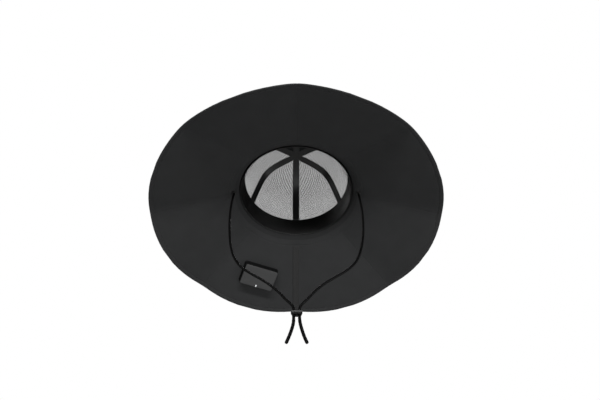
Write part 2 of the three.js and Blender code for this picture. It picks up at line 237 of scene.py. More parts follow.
def grey(level, tint=0.0):
    """A grey of that linear level. A positive tint leans it towards blue."""
    return (level * (1 - tint), level, level * (1 + tint), 1.0)


print("materials are written with Finish and Wire")

# %% [markdown]
# ## Cloth
# The brim and the front of the crown are plain woven polyester in charcoal. The weave could be an
# image, but threads that are worked out stay sharp at any distance. Each warp thread rises where it
# passes over a weft thread, and the higher of the two is what the eye sees. The stiff cloth curls
# up round the opening, and inside a ring about 102.5 mm from the axis it is darkened by painted
# shade.

# %% Plain weave
def plain_weave(finish, pitch):
    """Height of a plain weave from 0 to 1, with threads pitch metres apart."""
    across, along = (place / pitch for place in finish.cloth_place())
    warp = abs((across * math.pi).sine()) * (along + across.floor()).wave(2)
    weft = abs((along * math.pi).sine()) * (1 - (across + along.floor()).wave(2))
    return warp.highest(weft)


PAINTED_SHADE_RING = (0.1024, 0.1029)


def woven_finish(name, level, pitch):
    """Matt woven cloth with slubs, a soft mottle and a little lint. Pitch is in metres."""
    finish = Finish(name, sheen_weight=0.02, sheen_roughness=0.5, specular_ior_level=0.08)
    weave = plain_weave(finish, pitch)
    mottle, slub = finish.noise(38.0, 3.0), finish.noise(900.0)
    x, y, _ = finish.parts(finish.place())
    # Painted shade: inside this ring the colour is darkened for the shade of the curled collar. The
    # crown cloth lies wholly inside the ring, so it is darkened evenly.
    outside = ((x * x + y * y) ** 0.5).step(*PAINTED_SHADE_RING)
    share = 0.30 * weave + 0.45 * mottle + 0.25 * slub - 0.35 * (1 - outside)
    soft = finish.relief(mottle, 0.0006, 0.35)
    return finish.paint(
        base_color=finish.greys(share, level, 0.28, tint=0.02),
        roughness=0.88 + 0.10 * (mottle - 0.5),
        normal=finish.relief(weave + 0.4 * slub, 0.00010, 0.8, soft),
    )


brim_cloth = woven_finish("brim_cloth", 0.020, pitch=0.00062)
crown_cloth = woven_finish("crown_cloth", 0.020, pitch=0.00058)
print("cloth finishes:", brim_cloth.name, crown_cloth.name)

# %% [markdown]
# ## Satin, tape and thread
# The sweatband is faced with smooth black satin, whose long floats run round the head and catch the
# light in a soft streak. The tapes over the seams are ribbed across, with a slightly thicker edge.

# %% Satin of the sweatband
def satin_finish(name, level):
    """Black satin: fine floats round the head and a soft sheen."""
    finish = Finish(name, specular_ior_level=0.32)
    _, along = finish.cloth_place()
    streak = finish.noise(60.0, 4.0)
    return finish.paint(
        base_color=finish.greys(streak, level, 0.3),
        roughness=0.40 + 0.12 * streak,
        normal=finish.relief(along.wave(0.00042) + streak, 0.00006, 0.6),
    )


# %% Ribbed tape
def tape_finish(name, level, gloss=0.45, roughness=0.42):
    """Flat woven tape, ribbed across its length."""
    finish = Finish(name, specular_ior_level=gloss)
    across, along = finish.cloth_place()
    rib, yarn, worn = along.wave(0.0009), across.wave(0.0007), finish.noise(130.0, 3.0)
    return finish.paint(
        base_color=finish.greys(0.35 * rib + 0.2 * yarn + 0.45 * worn, level, 0.35),
        roughness=roughness + 0.12 * worn,
        normal=finish.relief(0.7 * rib + 0.3 * yarn, 0.00008, 0.7),
    )


# %% Sewing thread and the yarn of net and cords
def yarn_finish(name, level, roughness=0.6, twist=0.0012, specular=0.1):
    """Spun yarn: fine fibres that run round the thread at a slant."""
    finish = Finish(name, specular_ior_level=specular)
    across, along = finish.cloth_place()
    fibre = (along / twist + across / 0.0004).wave(1)
    lint = finish.noise(700.0, 3.0)
    return finish.paint(
        base_color=finish.greys(0.5 * fibre + 0.5 * lint, level, 0.4),
        roughness=roughness + 0.15 * (lint - 0.5),
        normal=finish.relief(fibre, 0.00008, 0.7),
    )


satin = satin_finish("sweatband_satin", 0.0011)
tape = tape_finish("seam_tape_satin", 0.0018)
brim_tape = tape_finish("brim_tape_matt", 0.019, gloss=0.08, roughness=0.8)
sewing_thread = yarn_finish("sewing_thread", 0.020)
net_yarn = yarn_finish("net_yarn", 0.020, roughness=0.7)
cord_yarn = yarn_finish("cord_yarn", 0.0016, roughness=0.42, twist=0.0030, specular=0.08)
print("satin, tape and yarn are ready")

# %% [markdown]
# ## Hard finishes
# The charging box and the cord lock are moulded, so they carry a fine grain and faint flow marks.
# The grommets are coated metal. The solar cells lie under a frosted clear film, which is a coat
# layer on
# the shader: the dark cell stays matt below and the film gives the soft shine.

# %% Moulded plastic
def moulded_finish(name, level, roughness, specular=0.4):
    """Plastic with a spark-eroded grain and faint flow marks."""
    finish = Finish(name, specular_ior_level=specular)
    flow, sparks = finish.noise(45.0, 3.0), finish.noise(2600.0, 2.0, 0.6)
    return finish.paint(
        base_color=finish.greys(flow, level, 0.12, tint=0.01),
        roughness=roughness + 0.14 * (sparks - 0.5),
        normal=finish.relief(sparks, 0.00003, 0.8),
    )


# %% Coated metal
def coated_metal_finish(name, level):
    """Black coated metal, with a few fine scratches down to the bright brass."""
    finish = Finish(name, specular_ior_level=0.5)
    rub = finish.noise(420.0, 6.0, 0.7).step(0.66, 0.74)
    return finish.paint(
        base_color=finish.blend(rub, grey(level), (0.20, 0.17, 0.12, 1.0)),
        metallic=0.25 + 0.7 * rub,
        roughness=0.38 + 0.12 * rub,
        normal=finish.relief(rub, 0.00002, 0.5),
    )


# %% Solar cell under film
FINGER_PITCH = 0.0016


def cell_finish(name):
    """Dark cell with thin silver fingers and a clear film over it."""
    finish = Finish(
        name, coat_weight=0.6, coat_roughness=0.2, coat_ior=1.45, specular_ior_level=0.3
    )
    _, along = finish.cloth_place()
    finger = 1 - abs((along / FINGER_PITCH).fraction() - 0.5).step(0.03, 0.07)
    grain = finish.noise(260.0, 3.0)
    cell = finish.blend(grain, (0.0035, 0.0055, 0.014, 1.0), (0.008, 0.013, 0.030, 1.0))
    return finish.paint(
        base_color=finish.blend(finger * 0.35, cell, (0.13, 0.14, 0.15, 1.0)),
        roughness=0.34 + 0.12 * grain,
        metallic=0.15 + 0.4 * finger,
        normal=finish.relief(finish.noise(60.0), 0.0001, 0.15),
    )


def film_finish(name):
    """Black backing film with the clear film on top."""
    finish = Finish(name, coat_weight=0.5, coat_roughness=0.24, specular_ior_level=0.3)
    dust = finish.noise(500.0, 4.0)
    return finish.paint(
        base_color=finish.greys(dust, 0.010, 0.3),
        roughness=0.42 + 0.2 * dust,
        normal=finish.relief(finish.noise(70.0), 0.0001, 0.2),
    )


def ribbon_finish(name):
    """Tinned copper ribbon that joins the cells."""
    finish = Finish(name, coat_weight=0.4, coat_roughness=0.25)
    solder = finish.noise(800.0, 3.0)
    return finish.paint(
        base_color=finish.blend(solder, grey(0.20), grey(0.38)),
        metallic=0.7 + 0.2 * solder,
        roughness=0.32 + 0.15 * solder,
    )


# %% Lens of the status light
def lens_finish(name):
    """Milky lens, lit a little from inside."""
    finish = Finish(name, coat_weight=0.5, coat_roughness=0.08)
    milk = finish.noise(900.0)
    return finish.paint(
        base_color=finish.blend(milk, grey(0.50, 0.02), grey(0.62, 0.02)),
        roughness=0.30 + 0.1 * milk,
        emission_color=finish.blend(milk, grey(0.9, 0.02), grey(1.0, 0.02)),
        emission_strength=0.15,
    )


box_plastic = moulded_finish("box_base_plastic", 0.0025, 0.6, specular=0.1)
face_plastic = moulded_finish("box_face_plastic", 0.023, 0.55, specular=0.3)
lock_plastic = moulded_finish("lock_plastic", 0.004, 0.42, specular=0.15)
button_plastic = moulded_finish("button_plastic", 0.055, 0.42)
grommet_metal = coated_metal_finish("grommet_coating", 0.008)
solar_cell = cell_finish("solar_cell")
backing_film = film_finish("panel_film")
cell_ribbon = ribbon_finish("cell_ribbon")
lens = lens_finish("status_lens")
print("materials made:", len(bpy.data.materials))

# %% [markdown]
# ## Meshes from arrays
# Cloth, stitches and net are all grids or repeats, so NumPy writes their points and faces and
# Blender only receives them. Each piece also stores its place in the cloth as a UV map in metres,
# which is what the weave is drawn with.

# %% From arrays to a piece of the hat
pieces = {}


def new_thing(name, points, faces):
    """An object from points in millimetres. Faces is a list of arrays of corner numbers."""
    mesh = bpy.data.meshes.new(name)
    corners = [tuple(face) for group in faces for face in np.asarray(group).tolist()]
    mesh.from_pydata((np.asarray(points) * MM).tolist(), [], corners)
    return linked(name, mesh)


def add_piece(name, points, faces, finish, slot, place=None, body="hat", stands_for=(),
              smooth=True):
    """A piece of the hat. Place is its place in the cloth, for each point or each face corner."""
    points = np.reshape(points, (-1, 3))
    thing = new_thing(name, points, faces)
    mesh = thing.data
    place = points[:, :2] if place is None else np.reshape(place, (-1, 2))
    loops = np.zeros(len(mesh.loops), np.int32)
    mesh.loops.foreach_get("vertex_index", loops)
    spread = place[loops] if len(place) == len(points) else place
    layer = mesh.uv_layers.new(name="cloth")
    layer.data.foreach_set("uv", (spread * MM).astype(np.float32).ravel())
    mesh.polygons.foreach_set("use_smooth", np.full(len(mesh.polygons), smooth))
    mesh.materials.append(finish)
    mesh.update()
    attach(thing, body)
    if stands_for:
        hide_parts(*stands_for)
    pieces[name] = thing
    return thing


def grid_faces(rows, columns, wrap_rows=False, wrap_columns=False, start=0):
    """Quads of a grid whose points are listed row by row."""
    i = np.arange(rows if wrap_rows else rows - 1)
    j = np.arange(columns if wrap_columns else columns - 1)
    i, j = (axis.ravel() for axis in np.meshgrid(i, j, indexing="ij"))
    k, m = (i + 1) % rows, (j + 1) % columns
    quads = (i * columns + j, i * columns + m, k * columns + m, k * columns + j)
    return np.stack(quads, 1) + start


def tube_faces(rows, columns):
    """Quads of a tube of closed rings, and a cap at each end."""
    cap = np.arange(columns)[None]
    return [grid_faces(rows, columns, wrap_columns=True), cap[:, ::-1], (rows - 1) * columns + cap]


def triangles_of(thing):
    return sum(len(face.vertices) - 2 for face in thing.data.polygons)


def run_along(line):
    """Distance travelled from the start of a line to each of its points."""
    return np.concatenate([[0], np.cumsum(np.linalg.norm(np.diff(line, axis=0), axis=1))])


def ease(values, low, high):
    """Smooth step from 0 at low to 1 at high."""
    share = np.clip((np.asarray(values, float) - low) / (high - low), 0, 1)
    return share * share * (3 - 2 * share)


def full_turn(steps):
    """Angles once round, without the last, which is the first again."""
    return np.arange(steps) * 2 * math.pi / steps


def polar(radius, angle, height):
    return np.stack(np.broadcast_arrays(radius * np.cos(angle), radius * np.sin(angle), height), -1)


def unit(vectors):
    return vectors / np.maximum(np.linalg.norm(vectors, axis=-1, keepdims=True), 1e-12)


print("helpers for meshes are ready")

# %% [markdown]
# ## Stitches
# A row of stitches is one small thread loop many times over. It could be an array modifier on a
# curve, but a thread has to dive into the cloth at both ends and follow the cloth's own normal, so
# the loops are placed along a line of points and normals and joined into one mesh.

# %% Rows of stitches
STITCH_SIDES = 5
STITCH_RINGS = ((-0.5, 0.45, -0.9), (-0.27, 1.0, 0.25), (0.27, 1.0, 0.25), (0.5, 0.45, -0.9))
POINTS_A_STITCH = STITCH_SIDES * len(STITCH_RINGS)
FINE_STITCH = {"pitch": 3.2, "length": 2.4}


def add_stitches(name, lines, slot="brim_fabric", pitch=3.6, length=2.7, radius=0.21):
    """Loops of thread along lines, each given as (points, normals)."""
    turns = full_turn(STITCH_SIDES)
    tube = grid_faces(len(STITCH_RINGS), STITCH_SIDES, wrap_columns=True)
    points, places, faces, start = [], [], [], 0
    for line, normals in lines:
        run = run_along(line)
        count = max(1, int(round(run[-1] / pitch)))
        marks = (np.arange(count) + 0.5) * run[-1] / count
        sample = lambda field, at: np.stack([np.interp(at, run, c) for c in field.T], 1)
        middle, normal = sample(line, marks), unit(sample(normals, marks))
        ahead = unit(sample(line, marks + 0.3) - sample(line, marks - 0.3))
        side = unit(np.cross(ahead, normal))
        rims, spread = [], []
        for offset, share, lift in STITCH_RINGS:
            centre = middle + ahead * offset * length + normal * lift * radius
            along = marks + offset * length
            for turn in turns:
                rim = side * math.cos(turn) + normal * math.sin(turn) * 0.8
                rims.append(centre + rim * radius * share)
                spread.append(np.stack([np.full(count, turn * radius), along], 1))
        points.append(np.stack(rims, 1).reshape(-1, 3))
        places.append(np.stack(spread, 1).reshape(-1, 2))
        starts = start + POINTS_A_STITCH * np.arange(count)[:, None, None]
        faces.append((tube[None] + starts).reshape(-1, 4))
        start += POINTS_A_STITCH * count
    add_piece(name, np.concatenate(points), faces, sewing_thread, slot, np.concatenate(places))
    print(name, "has", start // POINTS_A_STITCH, "stitches")


# %% [markdown]
# ## The brim
# The brim is one stiffened cloth: eight flat sectors that fall outwards, with soft folds between
# them, and a round collar that curls up to the sweatband. Eight plates could be joined at the
# folds, but then each fold would be a hard crease. One height function for the whole underside
# gives the folds a soft ridge, and the same function later carries the stitches and the tape.

# %% Height of the underside
RIM_RADIUS, BRIM_SIDES, BRIM_SLOPE, BRIM_THICKNESS = 235.5, 8, 0.408, 2.2
BRIM_INNER_RADIUS, BRIM_INNER_Z, FLAT_START_RADIUS = 95.9, -0.5, 114.0
HALF_SECTOR = math.pi / BRIM_SIDES
SLOPE_ANGLE = math.atan(BRIM_SLOPE)
BRIM_RISE = BRIM_THICKNESS / math.cos(SLOPE_ANGLE)
ROUND_COSINE = math.sin(HALF_SECTOR) / HALF_SECTOR
REFERENCE_RADIUS, REFERENCE_Z = 105, -9.5
FLAT_AXIS_Z = REFERENCE_Z + BRIM_SLOPE * REFERENCE_RADIUS
COLLAR_LIFT = BRIM_INNER_Z - FLAT_AXIS_Z + BRIM_SLOPE * BRIM_INNER_RADIUS * ROUND_COSINE
FRONT = -math.pi / 2
FOLD_SOFTNESS = 0.050


def underside(radius, angle):
    """Height of the brim's underside, before seams and creases."""
    to_middle = (angle - FRONT) % (2 * HALF_SECTOR) - HALF_SECTOR
    here, beside = np.cos(to_middle), np.cos(2 * HALF_SECTOR - np.abs(to_middle))
    faceted = here + np.maximum(FOLD_SOFTNESS - (here - beside), 0) ** 2 / (4 * FOLD_SOFTNESS)
    flatness = ease(radius, FLAT_START_RADIUS - 15, FLAT_START_RADIUS)
    cosine = ROUND_COSINE + (faceted - ROUND_COSINE) * flatness
    curl = 1 - (radius - BRIM_INNER_RADIUS) / (FLAT_START_RADIUS - BRIM_INNER_RADIUS)
    return FLAT_AXIS_Z - BRIM_SLOPE * radius * cosine + COLLAR_LIFT * np.maximum(curl, 0) ** 2


def to_seam(radius, angle):
    """Distance along the rim from the nearest fold."""
    turn = (angle - FRONT + HALF_SECTOR) % (2 * HALF_SECTOR) - HALF_SECTOR
    return radius * np.sin(turn)


# %% Seams, hem and creases of the underside
COLLAR_SEAM_RADIUS = 111.5
HEM_RADIUS = RIM_RADIUS - 7.0
FOLD_SEAM_START = 116
ANCHOR_X, ANCHOR_Y = 104.0, -4.2
CREASES = ((118, -27, 5.5, 1.5), (96.5, -33, 5.0, 1.1), (121, 13, 5.0, 0.7))


def groove(distance, width, depth):
    """A soft furrow pressed into the cloth by a row of stitches."""
    return depth * np.exp(-((distance / width) ** 2))


def creases(x, y):
    """Pull marks that run from each grommet into the cloth."""
    pull = np.zeros_like(x)
    for side in (-1, 1):
        from_x, from_y = side * x - ANCHOR_X, y - ANCHOR_Y
        for to_x, to_y, width, depth in CREASES:
            run = np.array([to_x - ANCHOR_X, to_y - ANCHOR_Y])
            length = np.hypot(*run)
            along = (from_x * run[0] + from_y * run[1]) / length
            across = (from_x * run[1] - from_y * run[0]) / length
            fade = ease(along, -6, 4) * (1 - ease(along, 0.35 * length, 1.15 * length))
            spread = width * (0.45 + 0.75 * np.clip(along / length, 0, 1))
            pull += depth * fade * np.exp(-((across / spread) ** 2))
        pull += 0.9 * np.exp(-((from_x**2 + from_y**2) / 7.5**2))
    return pull


def ripple(x, y):
    """The slight unevenness of cloth over its stiffener."""
    return (
        np.sin(x / 19 + 1.1) * np.sin(y / 27 + 0.3)
        + 0.6 * np.sin(x / 11 - y / 16)
        + 0.4 * np.sin((x + y) / 8.5 + 2.0)
    )


def in_hem(radius):
    """1 in the doubled cloth of the hem, 0 elsewhere."""
    return ease(radius, HEM_RADIUS, HEM_RADIUS + 2.5)


def fold_seam(radius, angle, depth):
    """Furrow of the seam at a fold, which starts outside the collar."""
    return groove(to_seam(radius, angle), 0.8, depth) * ease(radius, 108, FOLD_SEAM_START)


def brim_lower(radius, angle):
    """Height of the finished underside."""
    x, y = radius * np.cos(angle), radius * np.sin(angle)
    height = underside(radius, angle) + creases(x, y) + fold_seam(radius, angle, 0.30)
    height += groove(radius - COLLAR_SEAM_RADIUS, 0.9, 0.35)
    height += groove(radius - HEM_RADIUS, 1.0, 0.40)
    height -= 0.30 * in_hem(radius)
    return height + 0.10 * ripple(x, y) * ease(radius, 112, 124) * (1 - in_hem(radius))


def brim_upper(radius, angle):
    """Height of the finished top side."""
    height = underside(radius, angle) + BRIM_RISE - fold_seam(radius, angle, 0.5)
    height -= groove(radius - HEM_RADIUS, 1.0, 0.35)
    return height + 0.15 * in_hem(radius)


# %% One mesh for the whole brim
SECTOR_DEGREES = 360 / BRIM_SIDES
fold_offsets = np.array([0.0, 0.2, 0.42, 0.7, 1.1, 1.7, 2.6, 3.8, 5.5, 8.0, 11.0, 14.5, 18.5])
one_sector = np.concatenate([fold_offsets, SECTOR_DEGREES - fold_offsets[:0:-1]])
brim_angles = FRONT + np.radians(
    np.concatenate([one_sector + SECTOR_DEGREES * k for k in range(BRIM_SIDES)])
)
under_radii = np.concatenate([
    np.arange(BRIM_INNER_RADIUS + 0.6, 110, 1.35),
    [110.4, 111.0, 111.5, 112.0, 112.7, 114.0, 116.0],
    np.arange(120, 224, 5.2),
    RIM_RADIUS - np.array([9.0, 8.0, 7.4, 7.0, 6.5, 5.8, 4.8, 3.4, 1.8]),
])
rim_edge = RIM_RADIUS - np.array([0.6, 0.0, 0.6])
ring_radii = np.concatenate([under_radii, rim_edge, under_radii[::-1], [BRIM_INNER_RADIUS]])
ring_side = np.concatenate([
    np.zeros(len(under_radii)), [0.12, 0.5, 0.88], np.ones(len(under_radii)), [0.5],
])
grid_angle, grid_radius = np.meshgrid(brim_angles, ring_radii, indexing="ij")
lower, upper = brim_lower(grid_radius, grid_angle), brim_upper(grid_radius, grid_angle)
brim_points = polar(grid_radius, grid_angle, lower + (upper - lower) * ring_side).reshape(-1, 3)
brim_faces = grid_faces(*grid_angle.shape, wrap_rows=True, wrap_columns=True)


def sector_place(points, faces):
    """Place in the cloth for each corner of each face, with the weave square to its own sector."""
    corners = points[faces]
    middle = corners.mean(1)
    angle = np.arctan2(middle[:, 1], middle[:, 0])
    sector = np.floor((angle - FRONT) / (2 * HALF_SECTOR))
    axis = FRONT + (2 * sector + 1) * HALF_SECTOR
    out = np.stack([np.cos(axis), np.sin(axis)], 1)[:, None]
    along = (corners[:, :, :2] * out).sum(2)
    across = corners[:, :, 1] * out[:, :, 0] - corners[:, :, 0] * out[:, :, 1]
    return np.stack([across, along / math.cos(SLOPE_ANGLE)], 2).reshape(-1, 2)


brim = add_piece(
    "brim_cloth", brim_points, [brim_faces], brim_cloth, "brim_fabric",
    sector_place(brim_points, brim_faces),
    stands_for=["brim_collar"] + [f"brim_sector_{k + 1}" for k in range(BRIM_SIDES)],
)
print("brim:", triangles_of(brim), "triangles")

# %% [markdown]
# ## Stitching of the brim
# The sectors are top-stitched on both sides of every fold, the hem is stitched all round, and one
# ring of stitches holds the collar. Each row is a line on the height function above.

# %% Lines on the brim
def brim_line(radius, angle, top=False):
    """Points and outward normals of a line that lies on the brim."""
    surface = brim_upper if top else brim_lower
    radius, angle = np.broadcast_arrays(np.asarray(radius, float), np.asarray(angle, float))
    points = polar(radius, angle, surface(radius, angle))
    ahead = polar(radius + 0.4, angle, surface(radius + 0.4, angle)) - points
    beside = polar(radius, angle + 0.003, surface(radius, angle + 0.003)) - points
    normals = unit(np.cross(ahead, beside))
    return points, normals if top else -normals


round_turn = np.linspace(0, 2 * math.pi, 361)
fold_run = np.linspace(FOLD_SEAM_START, HEM_RADIUS - 2, 40)
under_lines = [brim_line(HEM_RADIUS, round_turn), brim_line(COLLAR_SEAM_RADIUS, round_turn)]
top_lines = [brim_line(HEM_RADIUS, round_turn, True)]
for k in range(BRIM_SIDES):
    for side in (-1, 1):
        seam_angle = FRONT + 2 * k * HALF_SECTOR + side * np.arcsin(1.9 / fold_run)
        top_lines.append(brim_line(fold_run, seam_angle, True))
        if k != BRIM_SIDES // 2:
            under_lines.append(brim_line(fold_run, seam_angle))
add_stitches("brim_stitches_under", under_lines)
add_stitches("brim_stitches_top", top_lines)

# %% [markdown]
# ## Tapes
# A flat tape covers the rear fold of the brim, and six tapes cover the seams inside the crown. All
# are the same ribbon with rounded edges, laid along a different line, so one helper makes them.

# %% A ribbon with rounded edges
RIBBON_SECTION = ((-1.0, 0.0), (-1.0, 0.45), (-0.94, 0.9), (-0.80, 1.0), (-0.4, 0.9), (0.0, 0.86),
                  (0.4, 0.9), (0.80, 1.0), (0.94, 0.9), (1.0, 0.45), (1.0, 0.0))


def add_ribbon(name, surface, runs, widths, thickness, stands_for, finish=tape):
    """surface(run, aside, lift) gives points. Widths are half widths at each run."""
    points = np.stack([
        surface(runs, aside * widths, np.full(len(runs), lift * thickness))
        for aside, lift in RIBBON_SECTION
    ], 1)
    rows, columns = points.shape[:2]
    across = np.array([aside for aside, _ in RIBBON_SECTION]) * widths[:, None]
    along = run_along(points[:, columns // 2])[:, None]
    place = np.stack(np.broadcast_arrays(across, along), -1)
    add_piece(name, points, tube_faces(rows, columns), finish, "tape", place,
              stands_for=stands_for)


# %% Tape under the rear fold
def under_rear(run, aside, lift):
    angle = -FRONT + np.arcsin(aside / run)
    return polar(run, angle, brim_lower(run, angle) - 0.12 - lift)


REAR_TAPE_HALF_WIDTH, REAR_TAPE_THICKNESS = 5.5, 0.75
rear_runs = np.linspace(112.5, 231.5, 70)
even = np.ones(len(rear_runs))
add_ribbon("rear_tape", under_rear, rear_runs, REAR_TAPE_HALF_WIDTH * even, REAR_TAPE_THICKNESS,
           ["rear_brim_tape"], brim_tape)
rear_rows = []
for side in (-1, 1):
    rear_points = under_rear(rear_runs, side * 4.3 * even, 0.72 * even)
    rear_rows.append((rear_points, np.outer(even, [0.0, 0.0, -1.0])))
add_stitches("rear_tape_stitches", rear_rows, "tape", **FINE_STITCH)

# %% [markdown]
# ## The crown
# The crown is a surface of revolution in six gores. Its outline is one Bezier curve from the top
# of the sweatband to the apex. Distances along that curve are tabulated once, so that net, cloth,
# tapes and stitches can all be laid out by real length.

# %% The outline of the crown
BAND_HEIGHT, BAND_LOWER, BAND_UPPER = 32.9, 94.0, 88.0
CROWN_CORNERS = np.array([(BAND_UPPER, 33.3), (64.9, 102.6), (67.3, 106.7), (0.0, 106.7)])
GORE_HALF_ANGLE = math.pi / 6


def bezier(share):
    a, b = 1 - share[:, None], share[:, None]
    p = CROWN_CORNERS
    point = a**3 * p[0] + 3 * a * a * b * p[1] + 3 * a * b * b * p[2] + b**3 * p[3]
    slope = a * a * (p[1] - p[0]) + 2 * a * b * (p[2] - p[1]) + b * b * (p[3] - p[2])
    return point, unit(slope)


outline, heading = bezier(np.linspace(0, 1, 1601))
outline_run = run_along(outline)
CROWN_LENGTH = outline_run[-1]


def crown_profile(run, lift=0.0):
    """Distance from the axis and height, at a run along the outline and a lift outwards."""
    run = np.asarray(run, float)
    inside = np.clip(run, 0, CROWN_LENGTH)
    radius, height = (np.interp(inside, outline_run, column) for column in outline.T)
    dx, dz = (np.interp(inside, outline_run, column) for column in heading.T)
    below = np.minimum(run, 0)
    return radius + lift * dz + below * dx, height - lift * dx + below * dz


def on_crown(run, angle, aside=0.0, lift=0.0):
    """Point of the crown beside the line at that angle, aside millimetres along the round."""
    radius, height = crown_profile(run, lift)
    return polar(radius, angle + aside / np.maximum(radius, 1.0), height)


def gore_half_width(run, lift=0.0):
    return crown_profile(run, lift)[0] * GORE_HALF_ANGLE


print("crown outline:", round(float(CROWN_LENGTH), 1), "mm from band to apex")

# %% [markdown]
# ## The net gores
# Four gores are a fine see-through net. An alpha pattern would be cheaper, but it would have no
# thickness and would fade at a distance. Here the net is real: a lattice of small holes turned by
# 45 degrees, whose strands are raised along the middle, so each strand has a rounded section.
# Knitted holes are never all of one size, so every third slanted row is tighter towards the top,
# which gives the net its fine grain. A folded selvedge closes the gore along its seams.

# %% A lattice of holes
NET_PITCH, NET_HOLE, NET_RIDGE, NET_LIFT = 1.3, 0.41, 0.12, 1.55
TIGHT_HOLE, WIDE_HOLE = -0.28, 0.14
WIDEST_HALF_GORE = 52
SELVEDGE = 4.4
HOLE_SIDES = 8
HOLE_TURNS = full_turn(HOLE_SIDES)
HALF_DIAGONAL = NET_PITCH / math.sqrt(2)


def lattice(fits, slant):
    """Lattice cells whose middle passes fits(run, aside): corner places, faces and hole places."""
    rows = int(CROWN_LENGTH / HALF_DIAGONAL) + 4
    columns = int(WIDEST_HALF_GORE / HALF_DIAGONAL)
    i, j = np.meshgrid(np.arange(-2, rows), np.arange(-columns, columns + 1), indexing="ij")
    even = (i + j) % 2 == 0
    i, j = i[even], j[even]
    kept = fits(i * HALF_DIAGONAL, j * HALF_DIAGONAL)
    i, j = i[kept], j[kept]
    around = [(0, 1), (1, 0), (0, -1), (-1, 0)]
    corner_keys = np.stack([np.stack([i + di, j + dj], 1) for di, dj in around], 1)
    unique, index = np.unique(corner_keys.reshape(-1, 2), axis=0, return_inverse=True)
    run, aside = i * HALF_DIAGONAL, j * HALF_DIAGONAL
    tight = (i + slant * j) // 2 % 3 == 0
    size = NET_HOLE * (1 + ease(run, 30, 70) * np.where(tight, TIGHT_HOLE, WIDE_HOLE))
    size = size * (1.04 - 0.09 * ease(run, 20, 65))
    holes = np.stack([
        run[:, None] + size[:, None] * np.sin(HOLE_TURNS),
        aside[:, None] + size[:, None] * np.cos(HOLE_TURNS),
    ], 2)
    return unique * HALF_DIAGONAL, index.reshape(-1, 4), holes.reshape(-1, 2)


def net_faces(corners, corner_count):
    """Triangles of both sides of the net, and strips that close its outer edge."""
    hole = 2 * corner_count + np.arange(len(corners) * HOLE_SIDES).reshape(-1, HOLE_SIDES)
    faces = []
    for k in range(4):
        h0, h1, h2 = (hole[:, (2 * k + step) % HOLE_SIDES] for step in range(3))
        for side, flip in ((corners, 1), (corners + corner_count, -1)):
            a, b = side[:, k], side[:, (k + 1) % 4]
            for triangle in ((a, h1, h0), (a, b, h1), (b, h2, h1)):
                faces.append(np.stack(triangle, 1)[:, ::flip])
    edges = np.stack([corners, np.roll(corners, -1, 1)], 2).reshape(-1, 2)
    _, first, count = np.unique(np.sort(edges, 1), axis=0, return_index=True, return_counts=True)
    rim = edges[first[count == 1]]
    walls = np.stack([rim[:, 1], rim[:, 0], rim[:, 0] + corner_count, rim[:, 1] + corner_count], 1)
    return [np.concatenate(faces), walls]


# %% Folded edges of a gore
def edge_strips(middle_angle, start):
    """Two folded edges along the seams of a gore, as closed strips."""
    runs = np.linspace(-1.2, CROWN_LENGTH - 1.5, 64)
    count = len(runs)
    points, places, faces = [], [], []
    section = ((0.12, -0.28), (0.12, 0.30), (0.6, 0.42), (SELVEDGE - 0.5, 0.42), (SELVEDGE, 0.25),
               (SELVEDGE, -0.20))
    for side in (-1, 1):
        for inset, lift in section:
            width = np.maximum(gore_half_width(runs, NET_LIFT) - inset, 0.02)
            points.append(on_crown(runs, middle_angle, side * width, NET_LIFT + lift))
            places.append(np.stack([np.full(count, inset), runs], 1))
        quads = grid_faces(len(section), count, wrap_rows=True, start=start)
        caps = start + np.arange(len(section))[None] * count
        faces += [quads[:, ::side], caps[:, ::-side], (caps + count - 1)[:, ::side]]
        start += len(section) * count
    return np.concatenate(points), np.concatenate(places), faces


# %% Four net gores
def add_net_gore(name, middle_angle, slant, stands_for):
    def fits(run, aside):
        room = gore_half_width(run, NET_LIFT) - 0.6 * SELVEDGE
        return (np.abs(aside) < room) & (run > -1.0) & (run < CROWN_LENGTH - 6)

    corner_spots, corners, hole_spots = lattice(fits, slant)
    spots = (corner_spots, corner_spots, hole_spots)
    lifts = (NET_LIFT + NET_RIDGE, NET_LIFT - NET_RIDGE, NET_LIFT)
    points = np.concatenate([on_crown(spot[:, 0], middle_angle, spot[:, 1], lift)
                             for spot, lift in zip(spots, lifts)])
    strip_points, strip_places, strip_faces = edge_strips(middle_angle, len(points))
    place = np.concatenate([np.concatenate(spots)[:, ::-1], strip_places])
    faces = net_faces(corners, len(corner_spots)) + strip_faces
    thing = add_piece(name, np.concatenate([points, strip_points]), faces, net_yarn, "net",
                      place, stands_for=stands_for)
    print(name, "has", len(corners), "holes and", triangles_of(thing), "triangles")


for k, name in enumerate(("right", "rear_right", "rear_left", "left")):
    slant = 1 if k < 2 else -1
    add_net_gore(f"net_gore_{name}", 2 * k * GORE_HALF_ANGLE, slant, [f"mesh_panel_{name}"])

# %% [markdown]
# ## The cloth gores
# The two gores at the front are closed cloth. Cloth that is sewn along a curved seam puckers a
# little between the stitches, and swells between the seams. A grid with both, and with turned-in
# edges, says more than a smooth dome.

# %% Two front gores
PUCKER_PITCH = 7.2


